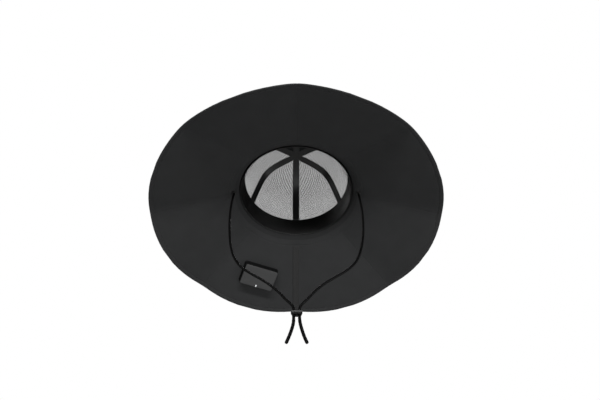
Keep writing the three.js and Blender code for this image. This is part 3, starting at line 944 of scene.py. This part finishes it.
def add_cloth_gore(name, middle_angle, stands_for):
    runs = np.concatenate([[-1.0, 0.5, 2.0], np.linspace(4, CROWN_LENGTH - 1.2, 84)])
    at_edge = np.array([0, 0.012, 0.03, 0.05, 0.08, 0.12])
    shares = np.concatenate([at_edge - 1, np.linspace(-0.82, 0.82, 21), 1 - at_edge[::-1]])
    run, share = np.meshgrid(runs, shares, indexing="ij")
    width = np.maximum(gore_half_width(run, 1.5) - 0.12, 0.02)
    from_edge = width * (1 - np.abs(share))
    wave = np.sin(run * 2 * math.pi / PUCKER_PITCH + 1.2 * np.sign(share))
    pucker = 0.16 * wave * np.exp(-from_edge / 3.5)
    free = ease(run, 0, 25) * (1 - ease(run, CROWN_LENGTH - 35, CROWN_LENGTH))
    swell = 0.55 * (1 - share**2) * free
    turned = 0.45 * (1 - ease(from_edge, 0.0, 1.0)) + groove(from_edge - 2.2, 0.7, 0.25)
    outer = 2.35 + swell + pucker - turned
    inner = 1.25 + 0.3 * swell + 0.5 * pucker
    rows, columns = run.shape
    sheets = [on_crown(run, middle_angle, width * share, lift) for lift in (outer, inner)]
    ring = np.concatenate([sheets[0], sheets[1][:, ::-1]], 1)
    place = np.concatenate([np.stack([width * share, run], 2)] * 2, 1)
    place[:, columns:] = place[:, columns:][:, ::-1]
    faces = [grid_faces(rows, 2 * columns, wrap_columns=True)]
    across = np.arange(columns - 1)
    for start, flip in ((0, -1), ((rows - 1) * 2 * columns, 1)):
        opposite = 2 * columns - 1 - across
        caps = np.stack([across, across + 1, opposite - 1, opposite], 1)
        faces.append((caps + start)[:, ::flip])
    thing = add_piece(name, ring, faces, crown_cloth, "crown_fabric", place,
                      stands_for=stands_for)
    print(name, "has", triangles_of(thing), "triangles")


add_cloth_gore("front_gore_left", math.radians(240), ["front_panel_left"])
add_cloth_gore("front_gore_right", math.radians(300), ["front_panel_right"])

# %% [markdown]
# ## Seams of the crown
# Inside, a tape lies over every seam and narrows to a point at the apex. Its own stitches run along
# both edges. Outside, two rows of stitches follow each seam.

# %% Tapes and stitches of the crown
TAPE_HALF_WIDTH = 6.0
tape_names = ("rear_right", "rear", "rear_left", "front_left", "front", "front_right")
tape_runs = np.linspace(-0.6, CROWN_LENGTH - 0.03, 96)
tape_widths = np.clip(gore_half_width(tape_runs), 0.02, TAPE_HALF_WIDTH)
inner_rows, outer_rows = [], []
for k, name in enumerate(tape_names):
    seam = (2 * k + 1) * GORE_HALF_ANGLE

    def inside_seam(run, aside, lift, seam=seam):
        return on_crown(run, seam, aside, 1.05 - lift)

    add_ribbon(f"tape_{name}", inside_seam, tape_runs, tape_widths, 0.8, [f"seam_tape_{name}"])
    inward = -unit(on_crown(tape_runs, seam, 0.0, 1.0) - on_crown(tape_runs, seam, 0.0, 0.0))
    for side in (-1, 1):
        edge = side * np.maximum(tape_widths - 1.3, 0)
        inner_rows.append((inside_seam(tape_runs, edge, 0.82)[:84], inward[:84]))
        outer_rows.append((on_crown(tape_runs, seam, side * 2.3, 1.95)[1:86], -inward[1:86]))
add_stitches("crown_stitches_inside", inner_rows, "tape", **FINE_STITCH)
add_stitches("crown_stitches_outside", outer_rows, "crown_fabric", **FINE_STITCH)

# %% [markdown]
# ## Walls of cloth round the head
# The sweatband and the crown band are rings. A lathe would do, but a real band waves a little and
# its stitches pull it in, so the wall is a grid whose distance from the axis has small waves.

# %% A wall of cloth
WALL_STEPS, WALL_RADIUS = 240, 92.0


def add_wall(name, section, finish, slot, stands_for, wave):
    """Section is a closed loop of (radius, height). wave(angle, height) moves it in and out."""
    angles = np.linspace(0, 2 * math.pi, WALL_STEPS, endpoint=False)
    radius, height = np.array(section).T
    angle, radius = np.meshgrid(angles, radius, indexing="ij")
    height = np.broadcast_to(height, angle.shape)
    points = polar(radius + wave(angle, height), angle, height)
    place = np.stack([angle * WALL_RADIUS, height], 2)
    faces = grid_faces(*angle.shape, wrap_rows=True, wrap_columns=True)
    spread = place.reshape(-1, 2)[faces]
    last = faces[:, 2] < faces[:, 0]
    spread[last, 2:, 0] += 2 * math.pi * WALL_RADIUS
    add_piece(name, points, [faces], finish, slot, spread, stands_for=stands_for)


def band_radius(height):
    return BAND_LOWER + (BAND_UPPER - BAND_LOWER) * height / BAND_HEIGHT


def between_edges(height):
    """0 at both edges of a band and 1 halfway up."""
    return np.sin(np.clip(height / BAND_HEIGHT, 0, 1) * math.pi)


def sweatband_wave(angle, height):
    soft = 0.22 * np.sin(5 * angle + 0.6) + 0.14 * np.sin(11 * angle + 2.0 + height / 14)
    stitched = groove(height - 2.6, 0.8, 0.25) + groove(height - 29.8, 0.8, 0.2)
    leans_in = 1.1 * (1 - np.sin(angle)) * (1 - ease(height, 2, 20))
    return soft * between_edges(height) + stitched - leans_in


heights = np.concatenate([[0.8], np.linspace(1.6, 31.6, 27), [32.3]])
inner_face = [(0.0, h, h) for h in heights]
upper_edge = [(0.35, 32.7, 32.75), (0.75, 32.9, 32.9), (1.15, 32.7, 32.75)]
outer_face = [(1.5, h, h) for h in (32.3, 22.0, 12.0, 2.5, 1.0)]
lower_edge = [(1.15, 0.0, 0.2), (0.75, 0.0, 0.0), (0.3, 0.0, 0.2)]
sweat_section = [(band_radius(level) + outset, height)
                 for outset, level, height in inner_face + upper_edge + outer_face + lower_edge]
add_wall("sweatband_satin_wall", sweat_section, satin, "sweatband_fabric", ["sweatband"],
         sweatband_wave)

# %% The outer band at the foot of the crown
BAND_GAP, CROWN_BAND = 1.9, 1.3


def crown_band_wave(angle, height):
    soft = 0.10 * np.sin(7 * angle + 1.0) + 0.07 * np.sin(13 * angle)
    return soft * between_edges(height)


foot = float(underside(np.array(97.0), np.array(FRONT))) + BRIM_RISE + 0.25
outer_heights = np.concatenate([np.linspace(foot + 0.7, 32.2, 24), [32.6]])
outer_face = [(CROWN_BAND, h) for h in outer_heights]
upper_edge = [(1.0, 32.9), (0.3, 32.9), (0.0, 32.5)]
inner_face = [(0.0, h) for h in (22.0, 12.0, foot + 0.6)]
lower_edge = [(0.3, foot), (1.0, foot)]
band_section = [(band_radius(height) + BAND_GAP + outset, height)
                for outset, height in outer_face + upper_edge + inner_face + lower_edge]
add_wall("crown_band_cloth", band_section[::-1], crown_cloth, "crown_fabric", ["crown_band"],
         crown_band_wave)


def ring_line(radius, height, outwards):
    points = polar(radius + np.zeros_like(round_turn), round_turn, height)
    return points, polar(outwards, round_turn, 0.0)


add_stitches("sweatband_stitches", [
    ring_line(band_radius(2.6) + 0.2, 2.6, -1.0), ring_line(band_radius(29.8) + 0.15, 29.8, -1.0),
], "sweatband_fabric", pitch=3.0, length=2.2, radius=0.17)
add_stitches("crown_band_stitches", [
    ring_line(band_radius(h) + BAND_GAP + CROWN_BAND, h, 1.0) for h in (30.6, 4.2)
], "crown_fabric", **FINE_STITCH)

# %% [markdown]
# ## The solar panels
# Eight flat panels lie on the sectors. Each is a laminate: black backing film, six rows of cells
# that leave a gap, and tinned ribbons that join them. The outline is cut to the sector and its
# corners are round. All of it is laid out flat, and a sector's own axes then carry it to its place.

# %% Axes of a sector
def sector_axes(sector):
    angle = FRONT + (2 * sector + 1) * HALF_SECTOR
    down = np.array([math.cos(SLOPE_ANGLE) * math.cos(angle),
                     math.cos(SLOPE_ANGLE) * math.sin(angle), -math.sin(SLOPE_ANGLE)])
    rim = np.array([-math.sin(angle), math.cos(angle), 0.0])
    return np.array([down, rim, np.cross(down, rim)])


def to_sector(flat, sector):
    """Points laid out down the slope, along the rim and up from the top of the brim."""
    top_at_axis = np.array([0, 0, FLAT_AXIS_Z + BRIM_RISE])
    return flat @ sector_axes(sector) + top_at_axis


# %% Outline of a panel
PANEL_INNER, PANEL_OUTER, PANEL_MARGIN, PANEL_CORNER = 124.0, 226.0, 6.0, 6.0
STRETCH = 1 / math.cos(SLOPE_ANGLE)


def half_span(distance, inset=0.0):
    return distance * math.tan(HALF_SECTOR) - PANEL_MARGIN - inset / math.cos(HALF_SECTOR)


def panel_outline(inset):
    """Closed outline of a panel, drawn inset millimetres inside its edge."""
    inner, outer = PANEL_INNER + inset, PANEL_OUTER - inset
    corner = max(PANEL_CORNER - inset, 0.8)
    side_angle = math.asin(half_span(outer - 13.5, inset) / outer)
    arc = [(outer * math.cos(a), outer * math.sin(a))
           for a in np.linspace(-side_angle, side_angle, 25)]
    low = half_span(inner, inset)
    path = np.array([(inner, -low), *arc, (inner, low)])
    last = len(path) - 1
    corners = {0: corner, 1: corner * 1.4, last - 1: corner * 1.4, last: corner}
    return round_corners(path, corners, 7)


def round_corners(path, corners, steps):
    """The closed path with the named corners rounded off."""
    out = []
    for i, point in enumerate(path):
        if i not in corners:
            out.append(point)
            continue
        before, after = path[i - 1] - point, path[(i + 1) % len(path)] - point
        reach_before = min(corners[i], 0.45 * np.linalg.norm(before)) / np.linalg.norm(before)
        reach_after = min(corners[i], 0.45 * np.linalg.norm(after)) / np.linalg.norm(after)
        start, end = point + before * reach_before, point + after * reach_after
        for t in np.linspace(0, 1, steps):
            out.append((1 - t) ** 2 * start + 2 * t * (1 - t) * point + t * t * end)
    return np.array(out)


def stack(levels, shape):
    """Closed body from rings. A level is a height and what shape needs to draw its ring."""
    rings = []
    for height, *drawn in levels:
        ring = shape(*drawn)
        rings.append(np.c_[ring, np.full(len(ring), height)])
    return np.concatenate(rings), tube_faces(len(rings), len(rings[0]))


def stretched(outline):
    """The outline drawn on the slope, which is longer than its plan."""
    return outline * [STRETCH, 1]


# %% Cells and ribbons of a panel
CELL_ROWS, CELL_GAP, CELL_MARGIN, CELL_CORNER, LAST_CELL = 6, 1.3, 6.0, 1.6, 208.5
RIBBONS, RIBBON_HALF_WIDTH = (-0.55, 0.0, 0.55), 0.55


def cell_outline(inner, outer):
    low, high = half_span(inner, CELL_MARGIN), half_span(outer, CELL_MARGIN)
    path = np.array([(inner, -low), (outer, -high), (outer, high), (inner, low)])
    return round_corners(path, dict.fromkeys(range(4), CELL_CORNER), 4)


cell_edges = np.linspace(PANEL_INNER + CELL_MARGIN, LAST_CELL + CELL_GAP, CELL_ROWS + 1)
cell_rows = [(edge, beyond - CELL_GAP) for edge, beyond in zip(cell_edges, cell_edges[1:])]


def stacked(parts):
    """Several (points, faces) as one."""
    points, faces, start = [], [], 0
    for part_points, part_faces in parts:
        points.append(part_points)
        faces += [np.asarray(group) + start for group in part_faces]
        start += len(part_points)
    return np.concatenate(points), faces


def shrunk(outline, inset):
    """The outline pulled in towards its middle by about inset."""
    middle = outline.mean(0)
    away = outline - middle
    return middle + away * (1 - inset / np.abs(away).max(0))


def flat_body(path, levels):
    """A thin body on the slope. A level is its height and how far its outline is pulled in."""
    return stack(levels, lambda inset: stretched(shrunk(path, inset)))


FILM_LEVELS = ((0.30, 0.4), (0.45, 0.0), (1.15, 0.0), (1.42, 0.35), (1.50, 1.2))
CELL_LEVELS = ((1.40, 0.0), (1.62, 0.0), (1.68, 0.15))
RIBBON_LEVELS = ((1.40, 0.0), (1.74, 0.0), (1.78, 0.1))
first, last = cell_rows[0][0] - 2.0, cell_rows[-1][1] + 2.0
ribbons = []
for share in RIBBONS:
    low, high = share * half_span(first, CELL_MARGIN) + np.array([-1, 1]) * RIBBON_HALF_WIDTH
    path = np.array([(first, low), (last, low), (last, high), (first, high)])
    ribbons.append(flat_body(path, RIBBON_LEVELS))
cells = [flat_body(cell_outline(*row), CELL_LEVELS) for row in cell_rows]
layers = {
    "film": (backing_film, stack(FILM_LEVELS, lambda inset: stretched(panel_outline(inset)))),
    "cells": (solar_cell, stacked(cells)),
    "ribbons": (cell_ribbon, stacked(ribbons)),
}

# %% Eight panels
stitch_loop = panel_outline(2.6)
stitch_loop = stretched(np.concatenate([stitch_loop, stitch_loop[:1]]))
stitch_loop = np.c_[stitch_loop, np.full(len(stitch_loop), 1.5)]
panel_rows = []
for sector in range(BRIM_SIDES):
    for layer, (finish, (points, faces)) in layers.items():
        add_piece(
            f"panel_{layer}_{sector + 1}", to_sector(points, sector), faces, finish, "solar_cell",
            points[:, [1, 0]], smooth=False,
            stands_for=[f"solar_panel_{sector + 1}"] if layer == "film" else (),
        )
    normals = np.tile(sector_axes(sector)[2], (len(stitch_loop), 1))
    panel_rows.append((to_sector(stitch_loop, sector), normals))
add_stitches("panel_stitches", panel_rows, "solar_cell", pitch=4.0, length=3.0)
print("panels:", BRIM_SIDES, "with", CELL_ROWS, "rows of cells each")

# %% [markdown]
# ## The charging box
# The box hangs under the rear left sector. Its base is black and has a flange on the cloth, and
# its lid is grey with a rounded edge. Both are moulded with drafted walls, so each is a stack of
# rounded rectangles, from the cloth down to the face. A shadow gap is left between them.

# %% Axes under the rear left sector
BOX_SECTOR, BOX_ALONG, BOX_ASIDE = 4, 185.8, 1.75
BOX_LENGTH, BOX_WIDTH, BOX_HEIGHT, LENS_FROM_EDGE = 59.3, 37.6, 14.0, 2.6


def to_box(flat):
    """Points laid out along the rim, down the slope and down from the underside of the brim."""
    down, rim, normal = sector_axes(BOX_SECTOR)
    axes = np.array([rim, down, -normal])
    shift = np.array([BOX_ASIDE, BOX_ALONG, 0.0])
    return (np.asarray(flat) + shift) @ axes + np.array([0, 0, FLAT_AXIS_Z])


def rounded_rectangle(half_length, half_width, corner, steps):
    turns = np.linspace(0, math.pi / 2, steps)
    out = []
    for quarter, (sx, sy) in enumerate(((1, 1), (-1, 1), (-1, -1), (1, -1))):
        for turn in turns + quarter * math.pi / 2:
            out.append((sx * (half_length - corner) + corner * math.cos(turn),
                        sy * (half_width - corner) + corner * math.sin(turn)))
    return np.array(out)


# %% Box and lens
def box_shape(outset, corner):
    return rounded_rectangle(BOX_LENGTH / 2 + outset, BOX_WIDTH / 2 + outset, corner, 9)


def lens_shape(outset, corner):
    outline = rounded_rectangle(1.0 + outset, 2.0 + outset, corner, 6)
    return outline + [0, BOX_WIDTH / 2 - LENS_FROM_EDGE]


def add_box_part(name, levels, shape, finish, slot, stands_for=()):
    points, faces = stack(levels, shape)
    return add_piece(name, to_box(points), faces, finish, slot, points[:, :2],
                     stands_for=stands_for)


box_base = add_box_part("charging_box_base", (
    (0.15, 1.2, 4.0), (0.3, 1.45, 4.0), (1.2, 1.45, 4.0), (1.5, 1.1, 4.0),
    (6.0, 0.75, 4.0), (11.6, 0.25, 4.0), (12.0, -0.25, 3.6), (12.1, -1.6, 3.0),
), box_shape, box_plastic, "box_plastic", ["junction_box"])
lid_edge = [
    (BOX_HEIGHT - 1.4 + 1.4 * math.sin(t), 0.1 - 1.2 * (1 - math.cos(t)), 2.1 + math.cos(t))
    for t in np.linspace(0.0, math.pi / 2, 8)
]
box_lid = add_box_part("charging_box_lid", (
    (12.15, -1.0, 3.4), (12.25, -0.05, 3.8), *lid_edge, (BOX_HEIGHT + 0.02, -5.0, 2.0),
), box_shape, face_plastic, "box_plastic")
add_box_part("status_lens", (
    (12.9, 0.0, 0.7), (14.0, 0.0, 0.7), (14.25, -0.12, 0.65), (14.4, -0.4, 0.5),
), lens_shape, lens, "light", ["status_light"])
print("box:", triangles_of(box_base) + triangles_of(box_lid), "triangles")

# %% [markdown]
# ## Grommets
# Each cord leaves the brim through a small coated grommet, which is turned on a lathe: one profile
# spun round its own axis.

# %% Two grommets
def spin(profile, centre):
    """Closed body from a profile of (radius, height) that starts and ends on the axis."""
    radius, height = np.array(profile).T
    turn, radius = np.meshgrid(np.linspace(0, 2 * math.pi, 40, endpoint=False), radius,
                               indexing="ij")
    return polar(radius, turn, height) + centre, [grid_faces(*turn.shape, wrap_rows=True)]


def rounded_ring(radius, height, size, start, end):
    return [(radius + size * math.cos(t), height + size * math.sin(t))
            for t in np.linspace(start, end, 7)]


grommet_profile = [
    (0.01, 1.5), (2.0, 1.5), (2.0, -1.4),
    *rounded_ring(2.6, -1.75, 0.6, math.pi, 2 * math.pi),
    (3.2, 2.2), *rounded_ring(2.5, 2.2, 0.7, 0.0, math.pi / 2), (1.4, 2.75), (0.01, 2.6),
]
for name, side in (("left", -1), ("right", 1)):
    seat = float(underside(np.array(ANCHOR_X), np.array(0.0 if side > 0 else math.pi)))
    points, faces = spin(grommet_profile, np.array([side * ANCHOR_X, ANCHOR_Y, seat]))
    add_piece(f"grommet_{name}", points, faces, grommet_metal, "anchor_metal",
              stands_for=[f"cord_anchor_{name}"])

# %% [markdown]
# ## The chin cord
# Two cords hang from the grommets, swing in to the lock and end in short tails. Each is four plies
# twisted together, one cord to the left and the other to the right. A curve with a round bevel
# would be a plain hose, so the plies are swept round the route one by one. Each ply is a little
# flattened, as it is in a cord that was pulled tight.

# %% Routes of the cords
CORD_DIAMETER, CORD_LAY, CORD_PLIES = 3.4, 24.0, 4
LOCK_X, LOCK_Y, LOCK_TOP = 4.2, -1.35, -263.0
GROMMET_ABOVE, GROMMET_ROOF, GAP = 2.9, 1.4, 0.3
SEAT_HEIGHT = float(underside(np.array(ANCHOR_X), np.array(0.0)))
CORD_TOP = SEAT_HEIGHT + GROMMET_ABOVE - GROMMET_ROOF - GAP
ROUTE_LEFT = (
    (104, CORD_TOP), (104, -9), (104.7, -18), (105.7, -32), (106.2, -50), (105.6, -75),
    (103.6, -103), (100.8, -126), (96.4, -147), (89.8, -164.5), (79.5, -180), (65, -192.5),
    (49, -204.5), (35.5, -216.3), (23.5, -229.5), (14.8, -241.5), (7.8, -249.6), (4.9, -254.4),
    (4.2, -258.6), (4.2, -265.7), (4.2, -270), (4, -276), (4.6, -284.5), (7, -295.5),
    (10.1, -306), (13.6, -316.2),
)
ROUTE_RIGHT = (
    (104, CORD_TOP), (104, -9), (104.7, -18), (105.7, -32), (106.3, -50), (105.9, -75),
    (104.2, -101), (101, -124), (95.9, -147), (90, -163), (80.5, -178), (67.5, -190),
    (53.6, -200.6), (40, -211.5), (28.5, -223), (18.5, -236), (10.2, -246.6), (5.6, -253.2),
    (4.2, -258.6), (4.2, -265.7), (4.2, -270), (4, -276), (5, -285), (7.5, -296.5),
    (10.3, -306.8), (13.6, -316.2),
)


def smooth_route(route, side):
    """Centripetal Catmull-Rom curve through the route, as points 0.8 mm apart."""
    x, z = np.array(route, float).T
    hung = np.clip(z / (LOCK_TOP + 1), 0, 1)
    knots = np.stack([side * x, ANCHOR_Y + (LOCK_Y - ANCHOR_Y) * hung, z], 1)
    knots = np.concatenate([[2 * knots[0] - knots[1]], knots, [2 * knots[-1] - knots[-2]]])
    spacing = np.sqrt(np.linalg.norm(np.diff(knots, axis=0), axis=1))
    out = []
    for i in range(1, len(knots) - 2):
        before, here, after = spacing[i - 1:i + 2]
        p0, p1, p2, p3 = knots[i - 1:i + 3]
        leave = ((p1 - p0) / before - (p2 - p0) / (before + here) + (p2 - p1) / here) * here
        arrive = ((p2 - p1) / here - (p3 - p1) / (here + after) + (p3 - p2) / after) * here
        t = np.linspace(0, 1, 40, endpoint=False)[:, None]
        out.append((2 * t**3 - 3 * t**2 + 1) * p1 + (t**3 - 2 * t**2 + t) * leave
                   + (3 * t**2 - 2 * t**3) * p2 + (t**3 - t**2) * arrive)
    points = np.concatenate(out + [knots[-2:-1]])
    run = run_along(points)
    marks = np.linspace(0, run[-1], int(run[-1] / 0.8) + 1)
    return np.stack([np.interp(marks, run, column) for column in points.T], 1), marks


# %% Plies round a route
PLY_SIDES, PLY_CENTRE, PLY_HEIGHT, PLY_WIDTH = 12, 1.14, 0.80, 1.17
TIP_RADII = (1.5, 1.95, 2.0, 1.8)
PLY_TURNS = full_turn(PLY_SIDES)


def add_cord(name, route, side, stands_for):
    path, run = smooth_route(route, side)
    ahead = unit(np.gradient(path, axis=0))
    across = unit(np.cross(ahead, [0.0, 1.0, 0.0]))
    over = np.cross(across, ahead)
    loose = 1 + 0.22 * ease(run, run[-1] - 50, run[-1] - 38)
    pinch = loose - 0.14 * ease(run, run[-1] - 1.6, run[-1])
    parts, places = [], []
    for ply in range(CORD_PLIES):
        phase = 2 * math.pi * (side * run / CORD_LAY + ply / CORD_PLIES)
        out = across * np.cos(phase)[:, None] + over * np.sin(phase)[:, None]
        along_round = np.cross(ahead, out)
        centre = path + out * (PLY_CENTRE * pinch)[:, None]
        rings = []
        for turn in PLY_TURNS:
            rim = out * math.cos(turn) * PLY_HEIGHT + along_round * math.sin(turn) * PLY_WIDTH
            rings.append(centre + rim * pinch[:, None])
        points = np.stack(rings, 1)
        parts.append((points.reshape(-1, 3), tube_faces(len(path), PLY_SIDES)))
        spread = np.broadcast_arrays(np.arange(PLY_SIDES)[None] * 0.45, run[:, None])
        places.append(np.stack(spread, 2).reshape(-1, 2))
    tip = [middle + (across[-1] * math.cos(t) + over[-1] * math.sin(t)) * radius
           for middle, radius in zip(path[-len(TIP_RADII):], TIP_RADII) for t in PLY_TURNS]
    parts.append((np.array(tip), tube_faces(len(TIP_RADII), PLY_SIDES)))
    places.append(np.zeros((len(tip), 2)))
    points, faces = stacked(parts)
    thing = add_piece(name, points, faces, cord_yarn, "cord", np.concatenate(places),
                      stands_for=stands_for)
    print(name, "is", round(float(run[-1]), 1), "mm long, with", triangles_of(thing), "triangles")
    return thing, path, float(run[-1])


cords = {
    "left": add_cord("chin_cord_left", ROUTE_LEFT, -1, ["cord_left"]),
    "right": add_cord("chin_cord_right", ROUTE_RIGHT, 1, ["cord_right"]),
}

# %% [markdown]
# ## The cord lock
# A spring lock grips both cords. Its body has two upright holes, and a black slide with a light
# grey face stands out of its front. Seen from below, the body narrows towards the rear. All three
# are moulded, so every edge is round. The holes are cut with a Boolean modifier, which is applied
# at once.

# %% Lock body and button
LOCK_HEIGHT, LOCK_WIDTH, LOCK_TRAVEL = 5.5, 17.5, 1.2
lock_middle = np.array([0.0, LOCK_Y, LOCK_TOP - LOCK_HEIGHT / 2])
HOLE_RADIUS = CORD_DIAMETER / 2 + GAP


def tapered_block(front, rear, wide, narrow, corner, bottom, top, edge):
    """Block that narrows from its front to its rear, with round corners and edges."""
    def plan(outset, round_corner):
        path = np.array([(wide + outset, front - outset), (narrow + outset, rear + outset),
                         (-narrow - outset, rear + outset), (-wide - outset, front - outset)])
        return round_corners(path, dict.fromkeys(range(4), round_corner), 7)

    levels, turns = [], np.linspace(0, math.pi / 2, 6)
    for height, way in ((bottom, 1), (top, -1)):
        for turn in turns[::-way]:
            outset = -edge * (1 - math.cos(turn))
            levels.append((height + way * edge * (1 - math.sin(turn)), outset,
                           max(corner + outset, 0.3)))
    return stack(levels, plan)


def bored(name, block, cutters, finish, slot, body, stands_for):
    """A piece with other closed bodies cut out of it."""
    thing = add_piece(name, *block, finish, slot, body=body, stands_for=stands_for)
    helpers = [new_thing(f"cutter_{k}", *cutter) for k, cutter in enumerate(cutters)]
    for helper in helpers:
        cutter = thing.modifiers.new(helper.name, "BOOLEAN")
        cutter.object, cutter.operation, cutter.solver = helper, "DIFFERENCE", "EXACT"
    seen = thing.evaluated_get(bpy.context.evaluated_depsgraph_get())
    shaped = bpy.data.meshes.new_from_object(seen)
    thing.modifiers.clear()
    thing.data = shaped
    for helper in helpers:
        bpy.data.objects.remove(helper)


def upright_bore(x, y, low, high):
    ring = polar(HOLE_RADIUS, full_turn(32), 0.0)[:, :2] + [x, y]
    return stack([(low,), (high,)], lambda: ring)


def at_lock(block):
    """The points and faces of a block, moved to the middle of the lock."""
    return block[0] + lock_middle, block[1]


front_y, slab_rear = -HOLE_RADIUS - LOCK_TRAVEL - 0.2, HOLE_RADIUS + 0.8
rear_y = slab_rear + LOCK_TRAVEL + GAP + 1.0
shell = tapered_block(front_y, rear_y, wide=LOCK_WIDTH / 2, narrow=5.7, corner=3.2,
                      bottom=-LOCK_HEIGHT / 2, top=LOCK_HEIGHT / 2, edge=0.9)
bores = [upright_bore(side * LOCK_X, LOCK_Y, LOCK_TOP - 10, LOCK_TOP + 5) for side in (-1, 1)]
pocket = tapered_block(front_y - 4, rear_y - 1, wide=9.6, narrow=5.4, corner=0.6,
                       bottom=-1.5, top=1.5, edge=0.2)
bored("lock_shell", at_lock(shell), [*bores, at_lock(pocket)], lock_plastic, "lock_plastic", "hat",
      ["lock_body"])

# %% The button
slab_front = front_y - 1.8
slab = tapered_block(slab_front, slab_rear, wide=7.0, narrow=5.0, corner=0.8,
                     bottom=-1.2, top=1.2, edge=0.3)
slots = [upright_bore(side * LOCK_X, 0.0, -6.0, 6.0) for side in (-1, 1)]
for points, _ in slots:
    points[points[:, 1] < 0, 1] -= LOCK_TRAVEL
bored("lock_slide", at_lock(slab), [at_lock(slot) for slot in slots], lock_plastic,
      "button_plastic", "button", ["lock_button"])
points, faces = tapered_block(-0.9, 0.9, wide=7.8, narrow=7.8, corner=0.7,
                              bottom=0.0, top=0.8, edge=0.25)
points = points[:, [0, 2, 1]] * [1, 1, -1] + lock_middle + [0, slab_front - 0.5, -1.0]
add_piece("lock_button_face", points, faces, button_plastic, "button_plastic", body="button")

# %% [markdown]
# ## The lengths of the cords
# A cord is real only if it has its real length.

# %% Lengths of both cords
lock_pieces = [pieces[name] for name in ("lock_shell", "lock_slide", "lock_button_face")]
for name, (thing, path, length) in cords.items():
    list(path[0] * MM)
    length * MM
    (path * MM).tolist()
    lock_pieces if name == "left" else []
print("cords declared:", [round(length) for _, _, length in cords.values()], "mm")

# %% [markdown]
# ## Studio
# The hat hangs at worn height above a plain pale floor. The picture behind it is bare and white, so
# the world is white to the camera and dim as a lamp. A wide, low soft box in front lights the
# underside of the brim, brightest at the rear. A large one above sends its light back up from the
# floor, as it would in a white studio. Weak ones below and at the sides set the step from one
# sector to the next. The two upper ones shine through the net, and a narrow strip at the left
# draws the edge of the cord.

# %% Floor, world and lights
FLOOR_Z, FLOOR_REACH = -1750, 9000
corners = [(x * FLOOR_REACH, y * FLOOR_REACH, FLOOR_Z)
           for x, y in ((-1, -1), (1, -1), (1, 1), (-1, 1))]
floor = new_thing("floor", corners, [[[0, 1, 2, 3]]])
matt = Finish("floor_paint", roughness=0.8, specular_ior_level=0.2)
floor_paint = matt.paint(base_color=matt.blend(matt.noise(2.0), grey(0.80), grey(0.84)))
floor.data.materials.append(floor_paint)
floor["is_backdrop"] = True

world = bpy.data.worlds.new("studio")
bpy.context.scene.world = world
world.use_nodes = True
sky = Wiring(world.node_tree)
background = sky.tree.nodes["Background"]
SKY_LIGHT = 0.03
straight = sky.node("LightPath", None, None, "Is Camera Ray")
sky.join(background.inputs["Strength"], (1 - SKY_LIGHT) * straight + SKY_LIGHT)
sky.join(background.inputs["Color"], (1, 1, 1, 1))


def soft_box(name, place, target, size, watts):
    """A rectangular lamp that the camera doesn't see. Places and sizes are in metres."""
    lamp = bpy.data.lights.new(name, "AREA")
    lamp.shape, lamp.size, lamp.size_y, lamp.energy = "RECTANGLE", *size, watts
    thing = linked(name, lamp)
    thing.location = place
    aim = Vector(target) - Vector(place)
    thing.rotation_euler = aim.to_track_quat("-Z", "Y").to_euler()
    thing.visible_camera = False


OPENING, BRIM, LOCK = (0, 0, 0), (0, 0, -0.03), (0, 0, -0.17)
soft_box("box_above", (0.2, 0.3, 1.9), OPENING, (1.2, 1.2), 45.0)
soft_box("box_below", (0, 0, -1.65), BRIM, (1.0, 1.0), 2.0)
soft_box("box_front", (0, -1.97, -0.4), BRIM, (1.8, 0.2), 62.0)
soft_box("box_right", (1.64, 0, -1.2), BRIM, (0.6, 0.4), 8.0)
soft_box("box_low_right", (0.95, -0.95, -1.39), BRIM, (0.6, 0.5), 8.0)
soft_box("box_low_left", (-0.95, -0.95, -1.39), BRIM, (0.6, 0.5), 2.5)
soft_box("box_upper_left", (-1.5, 0.55, 1.47), OPENING, (1.4, 0.5), 13.0)
soft_box("box_upper_right", (1.42, -1.0, 1.3), OPENING, (0.9, 0.5), 8.0)
soft_box("strip_left", (-1.9, -0.6, -0.1), LOCK, (0.12, 0.5), 1.6)

bpy.context.scene.view_settings.view_transform = "Standard"
print("lamps:", [light.name for light in bpy.data.lights])

# %% [markdown]
# ## Sizes
# The box round the dressed hat is printed in millimetres, and then the count of triangles in all
# pieces.

# %% Sizes
bpy.context.view_layer.update()
low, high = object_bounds()
print("dressed box in mm:", [round(v / MM, 1) for v in (*low, *high)])
print("triangles:", sum(triangles_of(thing) for thing in pieces.values()))
